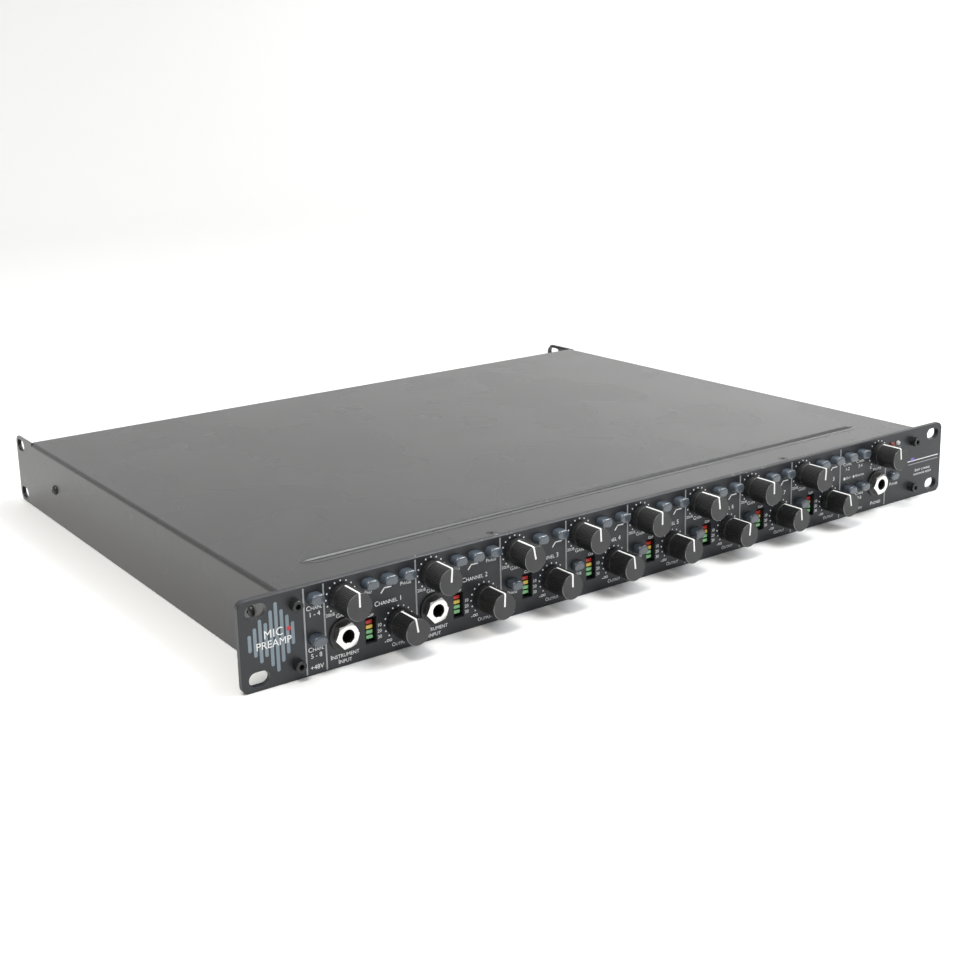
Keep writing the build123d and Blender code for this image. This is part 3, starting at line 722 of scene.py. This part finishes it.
def hexagon_nut(flats, thick, hole_radius, mouth_edge=0.35):
    """A nut standing on z = 0, with its chamfered end up."""
    bm = bmesh.new()
    cone = flats / 2 * 0.97
    slope = math.tan(math.radians(30))
    bottom = hexagon_ring(bm, flats, 0.0)
    top = grow(bm, bottom, thick)
    for vert in verts_of(top):
        vert.co.z = thick - max(0.0, vert.co.xy.length - cone) * slope
    hole_low = ring(bm, hole_radius, 0.05, 48)
    mouth = hole_radius + mouth_edge
    hole_mid = grow(bm, hole_low, thick - mouth_edge)
    hole_high = grow(bm, hole_mid, thick, mouth / hole_radius)
    flat_ring = grow(bm, hole_high, thick, cone / mouth)
    bmesh.ops.bridge_loops(bm, edges=top + flat_ring)
    bmesh.ops.bridge_loops(bm, edges=bottom + hole_low)
    return outwards(bm)


def nickel_finish():
    nickel = Finish("bright_nickel", (0.90, 0.895, 0.88), 0.18, 1.0)
    nickel.roughen(nickel.noise(2.0), 0.14, 0.22)
    nickel.bump(nickel.noise(0.6), 0.003)
    return nickel.material


nickel = nickel_finish()
nuts = solids_of("panel_nuts")
big_nuts = [box for box in nuts if box.size.z > 10.5]
small_nuts = [box for box in nuts if box.size.z <= 10.5]
jack_boxes = solids_of("front_jacks")
jack_front = face_y - box_of("front_jacks").low.y
flange_thick = 1.0
jack_bore, jack_nut_flats = 3.25, 11.2
print(len(big_nuts), "jack nuts,", len(small_nuts), "potentiometer nuts")
for count, box in enumerate(big_nuts, 1):
    bm = hexagon_nut(jack_nut_flats, jack_front - flange_thick, jack_bore, 0.15)
    place(bm, box.centre.x, face_y - flange_thick, box.centre.z, turn=20)
    nut = piece(bm, f"jack_nut_{count}", nickel)
    if count == 1:
        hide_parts("panel_nuts")
for count, box in enumerate(small_nuts, 1):
    bm = hexagon_nut(9.0, 1.8, 3.62)
    piece(place(bm, box.centre.x, face_y, box.centre.z, turn=90), f"pot_nut_{count}", nickel)

# %% [markdown]
# ## Jack sockets
#
# Each front socket shows a black flange with a raised rim under its nut, and a dark bore. The cup that lines
# the bore is near-black, darker than the socket's own black, and that extra darkness is painted shade. The
# flange and the cup are turned parts: their profiles are lists of lathe cuts. Behind the panel sits a
# moulded box.

# %% Socket finishes
def moulded_black(name, shade, low, high):
    black = Finish(name, (shade, shade, shade * 1.04), (low + high) / 2)
    black.roughen(black.noise(1.5), low, high)
    black.vary(black.noise(6.0), 0.85, 1.15)
    black.bump(black.noise(0.3), 0.004)
    return black.material


socket_black = moulded_black("socket_black", 0.018, 0.28, 0.4)
# The bore lining: black plastic, made darker than the socket's own black as painted shade.
bore_painted_shade = moulded_black("bore_black_painted_shade", 0.006, 0.5, 0.65)
brass = Finish("contact_brass", (0.78, 0.62, 0.32), 0.3, 1.0)
brass.roughen(brass.noise(1.0), 0.22, 0.38)


# %% Socket pieces
def jack_liner():
    """Black cup that lines the bore, open at the nut's mouth; its extra darkness is painted shade."""
    outer, inner, lip = jack_bore - 0.01, jack_bore - 0.25, jack_front - 0.5
    return solid_turned([(inner, -2.6), (inner, lip), (outer, lip), (outer, -2.9)], 48)


def jack_flange():
    """Flat black washer with a raised rim."""
    bm = bmesh.new()
    profile = [(4.8, 0.0), (7.7, 0.0), (7.9, 0.2), (7.9, 0.85), (7.75, 1.0), (7.0, 1.0), (6.9, 0.85),
               (4.8, 0.85)]
    start, end = turned(bm, profile, 96)
    bmesh.ops.bridge_loops(bm, edges=start + end)
    return outwards(bm)


def rounded_box(low, high, radius=0.5, segments=3):
    bm = bmesh.new()
    bmesh.ops.create_cube(bm, size=1.0)
    size, middle = Vector(high) - Vector(low), (Vector(high) + Vector(low)) / 2
    bmesh.ops.scale(bm, vec=size, verts=bm.verts)
    bmesh.ops.translate(bm, vec=middle, verts=bm.verts)
    bmesh.ops.bevel(bm, geom=bm.edges[:], offset=radius, offset_type="OFFSET", segments=segments,
                    profile=0.5, affect="EDGES", clamp_overlap=True, material=-1)
    return bm


for count, box in enumerate(jack_boxes, 1):
    x, z = box.centre.x, box.centre.z
    flange = piece(place(jack_flange(), x, face_y, z), f"jack_flange_{count}", socket_black)
    if count == 1:
        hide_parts("front_jacks")
    piece(place(jack_liner(), x, face_y, z), f"jack_liner_{count}", bore_painted_shade)
    bm = rounded_box((x - 7.4, 0.1, z - 7.4), (x + 7.4, box.high.y, z + 7.4), 0.8)
    piece(bm, f"jack_body_{count}", socket_black)

# %% [markdown]
# ## Level meters and lamps
#
# Behind each window stands a black block with four light bars, from red at the top to green at the bottom.
# The bars are cast in tinted, milky plastic. Each front face is pale, with a faint painted glow though no
# bar is lit; the sides are a darker copy, which is painted shade. The two lamps have round lenses.

# %% Light bars
def milky(name, color, painted_glow=0.0):
    plastic = Finish(name, color, 0.35, Subsurface_Weight=0.25, Coat_Weight=0.3)
    plastic.set("Subsurface Radius", (0.6 * MM, 0.6 * MM, 0.6 * MM))
    plastic.set("Subsurface Scale", 1.0)
    # The emission is painted glow: the bars are not lit.
    plastic.set("Emission Color", (*color, 1.0))
    plastic.set("Emission Strength", painted_glow)
    plastic.vary(plastic.noise(0.8), 0.85, 1.1)
    return plastic.material


# Each bar has a pale front copy with painted glow and a darker side copy, which is painted shade.
bar_red_painted_light = [milky("bar_red_painted_light", (0.42, 0.012, 0.008), 0.12), milky("bar_red_painted_shade", (0.13, 0.004, 0.003))]
bar_yellow_painted_light = [milky("bar_yellow_painted_light", (0.66, 0.46, 0.07), 0.12), milky("bar_yellow_painted_shade", (0.30, 0.16, 0.01))]
bar_green_painted_light = [milky("bar_green_painted_light", (0.20, 0.46, 0.21), 0.10), milky("bar_green_painted_shade", (0.02, 0.15, 0.035))]
meter_black = moulded_black("meter_black", 0.008, 0.4, 0.5)
bar_width, bar_height, bar_pitch, bar_base, bar_front = 3.9, 2.05, 2.5, 0.25, -1.5
meter_solids = solids_of("level_meters")
meter_blocks = [box for box in meter_solids if box.size.z > 5.0]
lamp_solids = [box for box in meter_solids if box.size.z <= 5.0]
for count, box in enumerate(meter_blocks, 1):
    low, high = box.low.copy(), box.high.copy()
    low.y = bar_base
    block = piece(rounded_box(low, high, 0.15, 2), f"meter_block_{count}", meter_black)
    if count == 1:
        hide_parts("level_meters")
    for step, (label, tint) in enumerate(
            (("clip", bar_red_painted_light), ("high", bar_yellow_painted_light), ("mid", bar_green_painted_light), ("low", bar_green_painted_light))):
        z = box.centre.z + (1.5 - step) * bar_pitch
        bar = rounded_box((box.centre.x - bar_width / 2, bar_front, z - bar_height / 2),
                          (box.centre.x + bar_width / 2, bar_base + 0.5, z + bar_height / 2), 0.45)
        bar.normal_update()
        # Front faces take the pale copy; all other faces take the darker copy, as painted shade.
        for face in bar.faces:
            face.material_index = 0 if face.normal.y < -0.75 else 1
        piece(bar, f"meter_{count}_{label}_bar", tint)

lamp_front = 0.3
lamp_profile = [(1.45, -10.0), (1.45, lamp_front)]
for step in range(1, 9):
    angle = math.radians(90) * step / 9
    lamp_profile.append((1.45 * math.cos(angle), lamp_front + 1.45 * math.sin(angle)))
lamp_red = milky("lamp_red", (0.22, 0.02, 0.015))
lamp_clear = milky("lamp_clear", (0.45, 0.45, 0.44))
for name, box, tint in zip(("lamp_left", "lamp_right"), lamp_solids, (lamp_red, lamp_clear)):
    bm = solid_turned(lamp_profile, 32)
    piece(place(bm, box.centre.x, face_y, box.centre.z), name, tint)

# %% [markdown]
# ## Screws
#
# The panel is held by four black cap screws with hexagon sockets, the cover by countersunk and round-headed
# screws with cross recesses. A socket is made by bridging a round rim to a hexagon with as many vertices and
# growing the hexagon downwards. A cross recess is cut with two thin bars and a Boolean, applied at once.

# %% Screw meshes
def cap_screw(radius, height, flats, shank_radius, shank):
    """Head from z = 0 up with a knurled side, shank below it."""
    bm = bmesh.new()
    knurls = 36
    edges = ring(bm, radius - 0.25, 0.0, 2 * knurls)
    start = edges
    edges = grow(bm, edges, 0.2, radius / (radius - 0.25))
    edges = grow(bm, edges, 0.45)
    around = sorted(verts_of(edges), key=lambda vert: math.atan2(vert.co.y, vert.co.x))
    bmesh.ops.scale(bm, vec=(0.955, 0.955, 1), verts=around[::2])
    edges = grow(bm, edges, height - 0.6)
    edges = grow(bm, edges, height - 0.35)
    for vert in verts_of(edges):
        flat = Vector((vert.co.x, vert.co.y, 0)).normalized() * radius
        vert.co.x, vert.co.y = flat.x, flat.y
    edges = grow(bm, edges, height, (radius - 0.35) / radius)
    edges = grow(bm, edges, height, (flats / math.sqrt(3) + 0.25) / (radius - 0.35))
    socket = hexagon_ring(bm, flats, height - 0.15, knurls // 3)
    bmesh.ops.bridge_loops(bm, edges=edges + socket)
    floor = grow(bm, socket, height - 2.3)
    cap(bm, floor)
    edges = grow(bm, start, 0.0, shank_radius / (radius - 0.25))
    edges = grow(bm, edges, -shank)
    cap(bm, edges)
    return outwards(bm)


def cut_cross(obj, centre, normal_axis, arm, width, depth):
    """Cut a cross recess into a screw's head with two thin bars."""
    cutter_mesh = bmesh.new()
    for long_way in (0, 1):
        bar = bmesh.ops.create_cube(cutter_mesh, size=1.0)["verts"]
        size = [arm, width, 2 * depth] if long_way else [width, arm, 2 * depth]
        bmesh.ops.scale(cutter_mesh, vec=size, verts=bar)
        diagonal = Matrix.Rotation(math.radians(45), 3, "Z")
        bmesh.ops.rotate(cutter_mesh, verts=bar, cent=(0, 0, 0), matrix=diagonal)
    turn = Vector((0, 0, 1)).rotation_difference(Vector(normal_axis)).to_matrix().to_4x4()
    bmesh.ops.transform(cutter_mesh, matrix=Matrix.Translation(centre) @ turn, verts=cutter_mesh.verts)
    bmesh.ops.scale(cutter_mesh, vec=(MM, MM, MM), verts=cutter_mesh.verts)
    mesh = bpy.data.meshes.new("cross_cutter")
    cutter_mesh.to_mesh(mesh)
    cutter_mesh.free()
    cutter = bpy.data.objects.new("cross_cutter", mesh)
    scene.collection.objects.link(cutter)
    boolean = obj.modifiers.new("recess", "BOOLEAN")
    boolean.operation, boolean.object, boolean.solver = "DIFFERENCE", cutter, "EXACT"
    boolean.use_self = True
    bpy.context.view_layer.update()
    cut = bpy.data.meshes.new_from_object(obj.evaluated_get(bpy.context.evaluated_depsgraph_get()))
    obj.modifiers.remove(boolean)
    obj.data = cut
    cut.shade_smooth()
    cut.set_sharp_from_angle(angle=math.radians(32))
    bpy.data.objects.remove(cutter)


# %% Screws in place
oxide = moulded_black("black_oxide", 0.012, 0.25, 0.38)
screw_boxes = solids_of("casing_screws")
sides = {-1: Matrix.Rotation(math.radians(-90), 4, "Y"), 1: Matrix.Rotation(math.radians(90), 4, "Y")}
shank_radius, round_height = 1.45, 1.8
front_screw_y, front_screw_z = 26.0, 4.0


def side_screw(name, way, y, z, shank):
    """Round-headed screw with a cross recess in the side of the case; way is -1 left, 1 right."""
    head = [(shank_radius, -shank), (shank_radius, 0.0), (3.0, 0.0), (2.95, 0.4), (2.6, 1.1), (1.9, 1.6),
            (0.9, round_height)]
    bm = place(solid_turned(head, 40), way * cover.high.x, y, z, sides[way])
    screw = piece(bm, name, oxide)
    cut_cross(screw, (way * (cover.high.x + round_height), y, z), (way, 0, 0), 2.6, 0.6, 1.0)
    return screw


first_screw = None
for count, box in enumerate(screw_boxes, 1):
    name, at = f"screw_{count}", box.centre
    if abs(at.x) > cover.high.x - 5.0:
        screw = side_screw(name, 1 if at.x > 0 else -1, at.y, at.z, 7.0)
    elif box.high.z > cover.high.z - 0.5:
        head = [(shank_radius, -3.4), (shank_radius, -1.1), (2.55, -0.1), (2.45, 0.0)]
        bm = place(solid_turned(head, 40), at.x, at.y, cover.high.z, Matrix.Identity(4))
        screw = piece(bm, name, oxide)
        cut_cross(screw, (at.x, at.y, cover.high.z), (0, 0, 1), 2.8, 0.6, 0.8)
    else:
        bm = place(cap_screw(2.75, 4.0, 2.5, shank_radius, 8.0), at.x, face_y, at.z, turn=20 * count)
        screw = piece(bm, name, oxide)
    first_screw = first_screw or screw
for way in sides:
    side_screw(f"front_side_screw_{way + 2}", way, front_screw_y, front_screw_z, 1.0)
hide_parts("casing_screws")
print(len(screw_boxes), "screws")

# %% [markdown]
# ## Printed legends
#
# The panel is screen printed: thin, slightly raised ink. All the white ink is one piece, built from text
# curves, dots and rules. Text is made a mesh first and then laid on the panel, and small capitals give the
# words their larger first letter. Each place is an offset from the control that it belongs to.

# %% Ink and stroke tools
INK = 0.024


def white_ink(name, color):
    ink = Finish(name, color, 0.5)
    ink.vary(ink.noise(1.0, 3.0), 0.86, 1.04)
    return ink.material


class Print:
    """Collects flat marks in panel coordinates (x, z), in millimetres, and ends as one piece."""

    def __init__(self, surface_y, facing=FRONT):
        self.bm = bmesh.new()
        self.surface_y, self.facing = surface_y, facing

    def lay(self, made, x, z, turn=0.0):
        place(made, x, self.surface_y, z, self.facing, turn)
        mesh = bpy.data.meshes.new("mark")
        made.to_mesh(mesh)
        made.free()
        self.bm.from_mesh(mesh)
        bpy.data.meshes.remove(mesh)

    def text(self, words, x, z, height, spacing=1.0):
        curve = bpy.data.curves.new("words", "FONT")
        curve.body, curve.size, curve.extrude = words, height / 0.72, INK / 2
        curve.align_x, curve.align_y = "CENTER", "CENTER"
        curve.resolution_u, curve.space_character = 3, spacing
        curve.small_caps_scale = 0.78
        for letter, style in zip(words, curve.body_format):
            style.use_small_caps = letter.islower()
        holder = bpy.data.objects.new("words", curve)
        scene.collection.objects.link(holder)
        mesh = bpy.data.meshes.new_from_object(holder)
        made = bmesh.new()
        made.from_mesh(mesh)
        bmesh.ops.remove_doubles(made, verts=made.verts, dist=0.0005)
        bmesh.ops.translate(made, vec=(0, 0, INK / 2), verts=made.verts)
        bpy.data.objects.remove(holder)
        bpy.data.curves.remove(curve)
        bpy.data.meshes.remove(mesh)
        self.lay(made, x, z)

    def dot(self, x, z, radius, segments=16):
        made = bmesh.new()
        bmesh.ops.create_cone(made, cap_ends=True, segments=segments, radius1=radius, radius2=radius,
                              depth=INK)
        bmesh.ops.translate(made, vec=(0, 0, INK / 2), verts=made.verts)
        self.lay(made, x, z)

    def rule(self, x0, z0, x1, z1, width):
        made = bmesh.new()
        bmesh.ops.create_cube(made, size=1.0)
        length = math.hypot(x1 - x0, z1 - z0)
        bmesh.ops.scale(made, vec=(length, width, INK), verts=made.verts)
        bmesh.ops.translate(made, vec=(0, 0, INK / 2), verts=made.verts)
        flip = -1 if self.facing == REAR else 1
        angle = math.degrees(math.atan2(z1 - z0, flip * (x1 - x0)))
        self.lay(made, (x0 + x1) / 2, (z0 + z1) / 2, turn=-angle)

    def stadium(self, x, z, width, length):
        """An upright bar with round ends, drawn apart from a disc."""
        made = bmesh.new()
        bmesh.ops.create_cone(made, cap_ends=True, segments=24, radius1=width / 2, radius2=width / 2,
                              depth=INK)
        half_step = Matrix.Rotation(math.radians(7.5), 3, "Z")
        bmesh.ops.rotate(made, verts=made.verts, cent=(0, 0, 0), matrix=half_step)
        for end in (-1, 1):
            half = [vert for vert in made.verts if vert.co.y * end > 0]
            bmesh.ops.translate(made, vec=(0, end * length / 2, 0), verts=half)
        bmesh.ops.translate(made, vec=(0, 0, INK / 2), verts=made.verts)
        self.lay(made, x, z)

    def done(self, name, material, slot="panel_black"):
        outwards(self.bm)
        return piece(self.bm, name, material)


def centre_of(node):
    box = box_of(node)
    return box.centre.x, box.centre.z


# %% Legends of the eight channels
ink_white = white_ink("ink_white", (0.90, 0.91, 0.92))
ink_grey = white_ink("ink_grey", (0.36, 0.38, 0.40))
legends, rules = Print(face_y), Print(face_y)
dial_radius, dial_dot = 7.9, 0.42
dial_ends, dial_steps = 135.0, 12
rule_width, rule_low, rule_high = 0.8, -20.9, 20.7
wide_channels = 2
knob_from_rule, narrow_strip = 9.0, 41.27


def dial(x, z):
    """A circle of dots round a knob, open at the bottom."""
    for step in range(dial_steps + 1):
        angle = math.radians(-dial_ends + 2 * dial_ends * step / dial_steps)
        legends.dot(x + dial_radius * math.sin(angle), z + dial_radius * math.cos(angle), dial_dot)


for n in range(1, 9):
    gain_x, gain_z = centre_of(f"gain_knob_{n}")
    output_x, output_z = centre_of(f"output_knob_{n}")
    pad_x, pad_z = centre_of(f"pad_button_{n}")
    cut_x, cut_z = centre_of(f"lowcut_button_{n}")
    phase_x, phase_z = centre_of(f"phase_button_{n}")
    meter = meter_blocks[n - 1].centre
    left = gain_x - knob_from_rule
    rules.rule(left, rule_low, left, rule_high, rule_width)
    dial(gain_x, gain_z)
    dial(output_x, output_z)
    legends.text("20dB", gain_x - 6.0, gain_z - 7.4, 1.6)
    legends.text("60dB", gain_x + 6.6, gain_z - 7.4, 1.6)
    legends.text("Gain", gain_x - 0.2, gain_z - 8.9, 2.1)
    legends.text("Pad", pad_x, pad_z - 4.6, 1.8)
    legends.text(f"Channel {n}", left + (34.0 if n <= wide_channels else 28.8), 3.9, 2.42)
    legends.text("Phase", phase_x, phase_z - 4.8, 1.9)
    legends.rule(cut_x - 3.5, cut_z - 6.9, cut_x - 1.5, cut_z - 4.6, 0.65)
    legends.rule(cut_x - 1.7, cut_z - 4.6, cut_x + 2.4, cut_z - 4.6, 0.65)
    legends.text("Output", output_x, output_z - 10.8, 1.9)
    legends.text("-∞", output_x - 6.1, output_z - 8.0, 2.5)
    legends.text("+10", output_x + 6.4, output_z - 8.0, 1.7)
    legends.text("Clip", meter.x, meter.z + 7.5, 1.5)
    for step, number in enumerate(("10", "20", "30")):
        legends.text(number, meter.x + 4.7, meter.z + 1.4 - 2.9 * step, 1.7)
    if n <= wide_channels:
        legends.text("Instrument", gain_x + 0.6, -16.1, 2.3)
        legends.text("Input", gain_x + 0.6, -19.0, 2.3)
print("ink so far", len(legends.bm.faces), "faces")

# %% Legends of the phantom, monitor and power sections
phantom_x, _ = centre_of("phantom_button_1")
monitor = [centre_of(f"monitor_button_{n}") for n in range(1, 5)]
phones_x, phones_z = centre_of("phones_knob")
power_x, power_z = centre_of("power_button")
phones_jack = jack_boxes[-1].centre
last_left = centre_of("gain_knob_8")[0] - knob_from_rule + narrow_strip
rules.rule(phantom_x - 5.2, rule_low, phantom_x - 5.2, rule_high, rule_width)
rules.rule(last_left, rule_low, last_left, rule_high, rule_width)
rules.rule(phones_x + 7.4, rule_low, phones_x + 7.4, 2.0, rule_width)
for words, channels_z in (("1 - 4", 15.5), ("5 - 8", -4.4)):
    legends.text("Chan.", phantom_x, channels_z - 5.0, 2.3)
    legends.text(words, phantom_x, channels_z - 8.2, 2.3)
legends.text("+48V", phantom_x, -18.2, 2.3)
for (x, z), words in zip(monitor, ("1-2", "3-4", "5-6", "7-8")):
    legends.text("Chan.", x, z - 4.8, 2.0)
    legends.text(words, x, z - 7.8, 2.0)
legends.dot(152.2, 2.1, 0.95)
legends.text("Out", 155.6, 2.1, 1.5)
legends.dot(160.2, 2.1, 0.8)
legends.text("Monitor", 165.4, 2.1, 1.5)
legends.text("Mon", 166.0, -18.4, 1.9)
dial(phones_x, phones_z)
legends.text("0", phones_x - 6.2, phones_z - 7.6, 1.7)
legends.text("Volume", phones_x - 0.4, phones_z - 9.2, 1.7)
legends.text("10", phones_x + 6.0, phones_z - 7.6, 1.5)
legends.text("Phones", phones_jack.x, -17.9, 2.2)
legends.text("Power", power_x + 1.2, power_z - 5.4, 1.9)
legends.text("On", lamp_solids[0].centre.x, 12.6, 1.2)
legends.text("Clock", lamp_solids[1].centre.x + 0.8, 12.6, 1.2)

# %% [markdown]
# ## Marks on the two ears
#
# The left ear carries a plain sound-level motif in blue-grey ink: a row of round-ended bars, taller in the
# middle, with the unit's function in white across it. The right ear has a thin rule, two rows of small
# lettering and a violet accent.

# %% Ear marks
bars = Print(face_y)
bar_marks = ((-236.4, 3.2), (-233.7, 6.0), (-231.0, 9.4), (-228.3, 7.2), (-225.6, 12.4),
             (-222.9, 15.6), (-220.2, 11.6), (-217.5, 8.4), (-214.9, 4.6))
bar_middle, bar_mark_width = 1.4, 1.7
for x, half in bar_marks:
    bars.stadium(x, bar_middle, bar_mark_width, 2 * half)
bars.done("ear_bars", white_ink("ink_blue_grey", (0.20, 0.25, 0.29)))
name_plate = Print(face_y - INK)
name_plate.text("MIC", -224.6, 3.6, 4.0, spacing=1.05)
name_plate.text("PREAMP", -224.6, -1.2, 3.6, spacing=1.0)
name_plate.done("ear_words", white_ink("ink_bright", (0.85, 0.85, 0.84)))
accent_dot = Print(face_y - INK)
accent_dot.dot(-216.9, 4.0, 1.1, 24)
accent_dot.done("ear_red_dot", white_ink("ink_red", (0.55, 0.03, 0.04)))

legends.rule(209.5, 1.7, 238.5, 1.7, 0.5)
legends.text("Eight channel", 224.2, -4.9, 1.7)
legends.text("microphone preamp", 224.2, -7.4, 1.5)
rules.rule(210.5, -0.4, 238.5, -0.4, 0.4)
violet = Print(face_y - INK)
violet.rule(212.6, 2.7, 215.6, 2.7, 1.7)
violet.done("ear_violet_mark", white_ink("ink_violet", (0.22, 0.12, 0.62)))
legends.done("panel_legends", ink_white)
rules.done("panel_rules", ink_grey)

# %% [markdown]
# ## Rear connectors
#
# The rear wall carries what eight channels need: microphone sockets, line jacks, two optical ports and the
# mains inlet. Each type has its own few lines, and the frame's group of solids says where each one sits.

# %% Threaded neck
def neck_profile(outer, bore, front, depth, pitch=0.75):
    """Lathe cuts of a threaded neck: up the thread, over the mouth and down the bore."""
    cuts = [(outer - 0.35, 0.0)]
    height = 0.35
    while height < front - 0.9:
        cuts += [(outer, height), (outer - 0.32, height + pitch / 2)]
        height += pitch
    mouth = [(outer, front - 0.35), (outer - 0.3, front), (bore + 0.3, front), (bore, front - 0.3)]
    return cuts + mouth + [(bore, -depth)]


def jack_neck(outer, bore, front, depth):
    """Nickel sleeve: the lathe cuts closed by a back wall round the bore."""
    bm = bmesh.new()
    start, end = turned(bm, neck_profile(outer, bore, front, depth), 48)
    inner_wall = grow(bm, start, -depth - 0.8)
    cap(bm, inner_wall)
    cap(bm, end)
    return outwards(bm)


# %% Rear parts
rear_solids = solids_of("rear_connectors")
rear_wall, mic_flange, line_flange = 331.0, 2.0, 2.4
mic_boxes = [box for box in rear_solids if box.size.x > 25.5 and box.centre.x < 0]
inlet_box = max((box for box in rear_solids if box.centre.x > 150.0), key=lambda box: box.size.x)
line_boxes = [box for box in rear_solids if 11.0 < box.size.x < 15.0]
optic_boxes = [box for box in rear_solids if 9.0 < box.size.x < 11.0]
print(len(mic_boxes), "microphone sockets", len(line_boxes), "line jacks", len(optic_boxes), "optical ports")
wear("rear_connectors", moulded_black("connector_black", 0.02, 0.32, 0.45))
steel = Finish("plain_steel", (0.58, 0.58, 0.57), 0.28, 1.0)
steel.roughen(steel.noise(1.5), 0.22, 0.36)
for count, box in enumerate(mic_boxes, 1):
    x, z = box.centre.x, 0.0
    collar = bmesh.new()
    profile = [(11.0, 0.0), (11.0, 0.5), (10.6, 0.9), (9.75, 0.9), (9.62, 0.6), (9.62, -6.0), (9.75, -6.0),
               (9.75, 0.0)]
    start, end = turned(collar, profile, 64)
    bmesh.ops.bridge_loops(collar, edges=start + end)
    outwards(collar)
    place(collar, x, rear_wall + mic_flange, z, REAR)
    piece(collar, f"mic_collar_{count}", steel.material)
    contacts = bmesh.new()
    for step in range(3):
        angle = math.radians(90 + 120 * step)
        tube = bmesh.new()
        start, end = turned(tube, [(1.38, -9.0), (1.38, -0.6), (1.28, -0.5), (1.0, -0.5), (1.0, -9.0)], 20)
        bmesh.ops.bridge_loops(tube, edges=start + end)
        bmesh.ops.translate(tube, vec=(4.0 * math.cos(angle), 4.0 * math.sin(angle), 0), verts=tube.verts)
        mesh = bpy.data.meshes.new("contact")
        tube.to_mesh(mesh)
        tube.free()
        contacts.from_mesh(mesh)
        bpy.data.meshes.remove(mesh)
    outwards(contacts)
    place(contacts, x, rear_wall + mic_flange, z, REAR)
    piece(contacts, f"mic_contacts_{count}", brass.material)
    for corner, way in enumerate((-1, 1), 1):
        head = [(2.1, 0.0), (2.2, 0.15), (2.1, 0.5), (1.6, 0.85), (0.7, 0.95)]
        screw_x, screw_z = x + way * 9.5, -way * 12.0
        bm = place(solid_turned(head, 28), screw_x, rear_wall + mic_flange, screw_z, REAR)
        screw = piece(bm, f"mic_{count}_screw_{corner}", steel.material)
        cut_cross(screw, (screw_x, rear_wall + mic_flange + 0.95, screw_z), (0, 1, 0), 2.0, 0.45, 0.6)
    latch_y = rear_wall + mic_flange
    latch = rounded_box((x - 2.4, latch_y, 11.2), (x + 2.4, latch_y + 1.4, 14.6), 0.4)
    piece(latch, f"mic_latch_{count}", steel.material)
for count, box in enumerate(line_boxes, 1):
    x, z = box.centre.x, 0.0
    foot = rear_wall + line_flange
    neck = place(jack_neck(4.74, 3.2, box.high.y - foot, 0.2), x, foot, z, REAR)
    piece(neck, f"line_neck_{count}", nickel)
    nut = place(hexagon_nut(12.0, 1.5, 4.78), x, foot, z, REAR, 30)
    piece(nut, f"line_nut_{count}", nickel)
for count, box in enumerate(optic_boxes, 1):
    x = box.centre.x
    shutter = rounded_box((x - 3.4, box.high.y - 0.2, -3.4), (x + 3.4, box.high.y + 0.3, 3.4), 0.15, 2)
    piece(shutter, f"optic_shutter_{count}", meter_black)
for count, (dx, dz) in enumerate(((-7.0, -2.0), (0.0, 2.0), (7.0, -2.0)), 1):
    x = inlet_box.centre.x + dx
    blade_root, blade_tip = inlet_box.high.y - 17.5, inlet_box.high.y - 5.0
    low, high = (x - 1.04, blade_root - 0.5, dz - 2.04), (x + 1.04, blade_tip + 0.05, dz + 2.04)
    blade = rounded_box(low, high, 0.3)
    piece(blade, f"inlet_blade_{count}", steel.material)

# %% Rear legends
rear_print = Print(rear_wall, REAR)
for count, box in enumerate(mic_boxes, 1):
    rear_print.text(f"Input {count}", box.centre.x, -18.4, 2.4)
for count, box in enumerate(line_boxes, 1):
    rear_print.text(f"{count}", box.centre.x, 10.6, 2.6)
rear_print.text("Line outputs", sum(box.centre.x for box in line_boxes) / 8, -12.4, 2.6)
for count, box in enumerate(optic_boxes, 1):
    rear_print.text(("Digital in", "Digital out")[count - 1], box.centre.x, -9.0 - 3.2 * count, 2.0)
rear_print.text("AC Power", inlet_box.centre.x, -16.8, 2.4)
rear_print.done("rear_legends", ink_white, "case_paint")

# %% [markdown]
# ## Inside
#
# The boards, tubes and transformer sit in the closed case. They keep their frame shapes and get plain but
# real finishes: green solder mask with pale tracks, clear glass, and a taped winding.

# %% Inside finishes
def board_green():
    mask = Finish("board_green", (0.012, 0.085, 0.035), 0.35)
    tracks = mask.between(mask.noise(3.0, 1.0, (1, 0.2, 1)), 0.5, 0.54)
    shown = mask.mix_color(tracks, mask.color, (0.03, 0.14, 0.06))
    mask.link(shown, mask.shader.inputs["Base Color"])
    mask.bump(tracks, 0.02)
    return mask.material


def winding():
    wound = Finish("winding", (0.48, 0.30, 0.07), 0.4)
    turns = wound.noise(1.2, 1.0, (1, 1, 0.05))
    wound.vary(turns, 0.7, 1.2)
    wound.bump(turns, 0.15)
    return wound.material


def tube_glass():
    glass = Finish("tube_glass", (0.52, 0.55, 0.56), 0.08, Coat_Weight=1.0)
    getter = glass.between(glass.noise(14.0), 0.4, 0.7)
    shown = glass.mix_color(getter, glass.color, (0.12, 0.12, 0.13))
    glass.link(shown, glass.shader.inputs["Base Color"])
    return glass.material


green = board_green()
for node in ("control_board", "main_board"):
    wear(node, green)
wear("power_transformer", winding())
wear("vacuum_tubes", tube_glass())
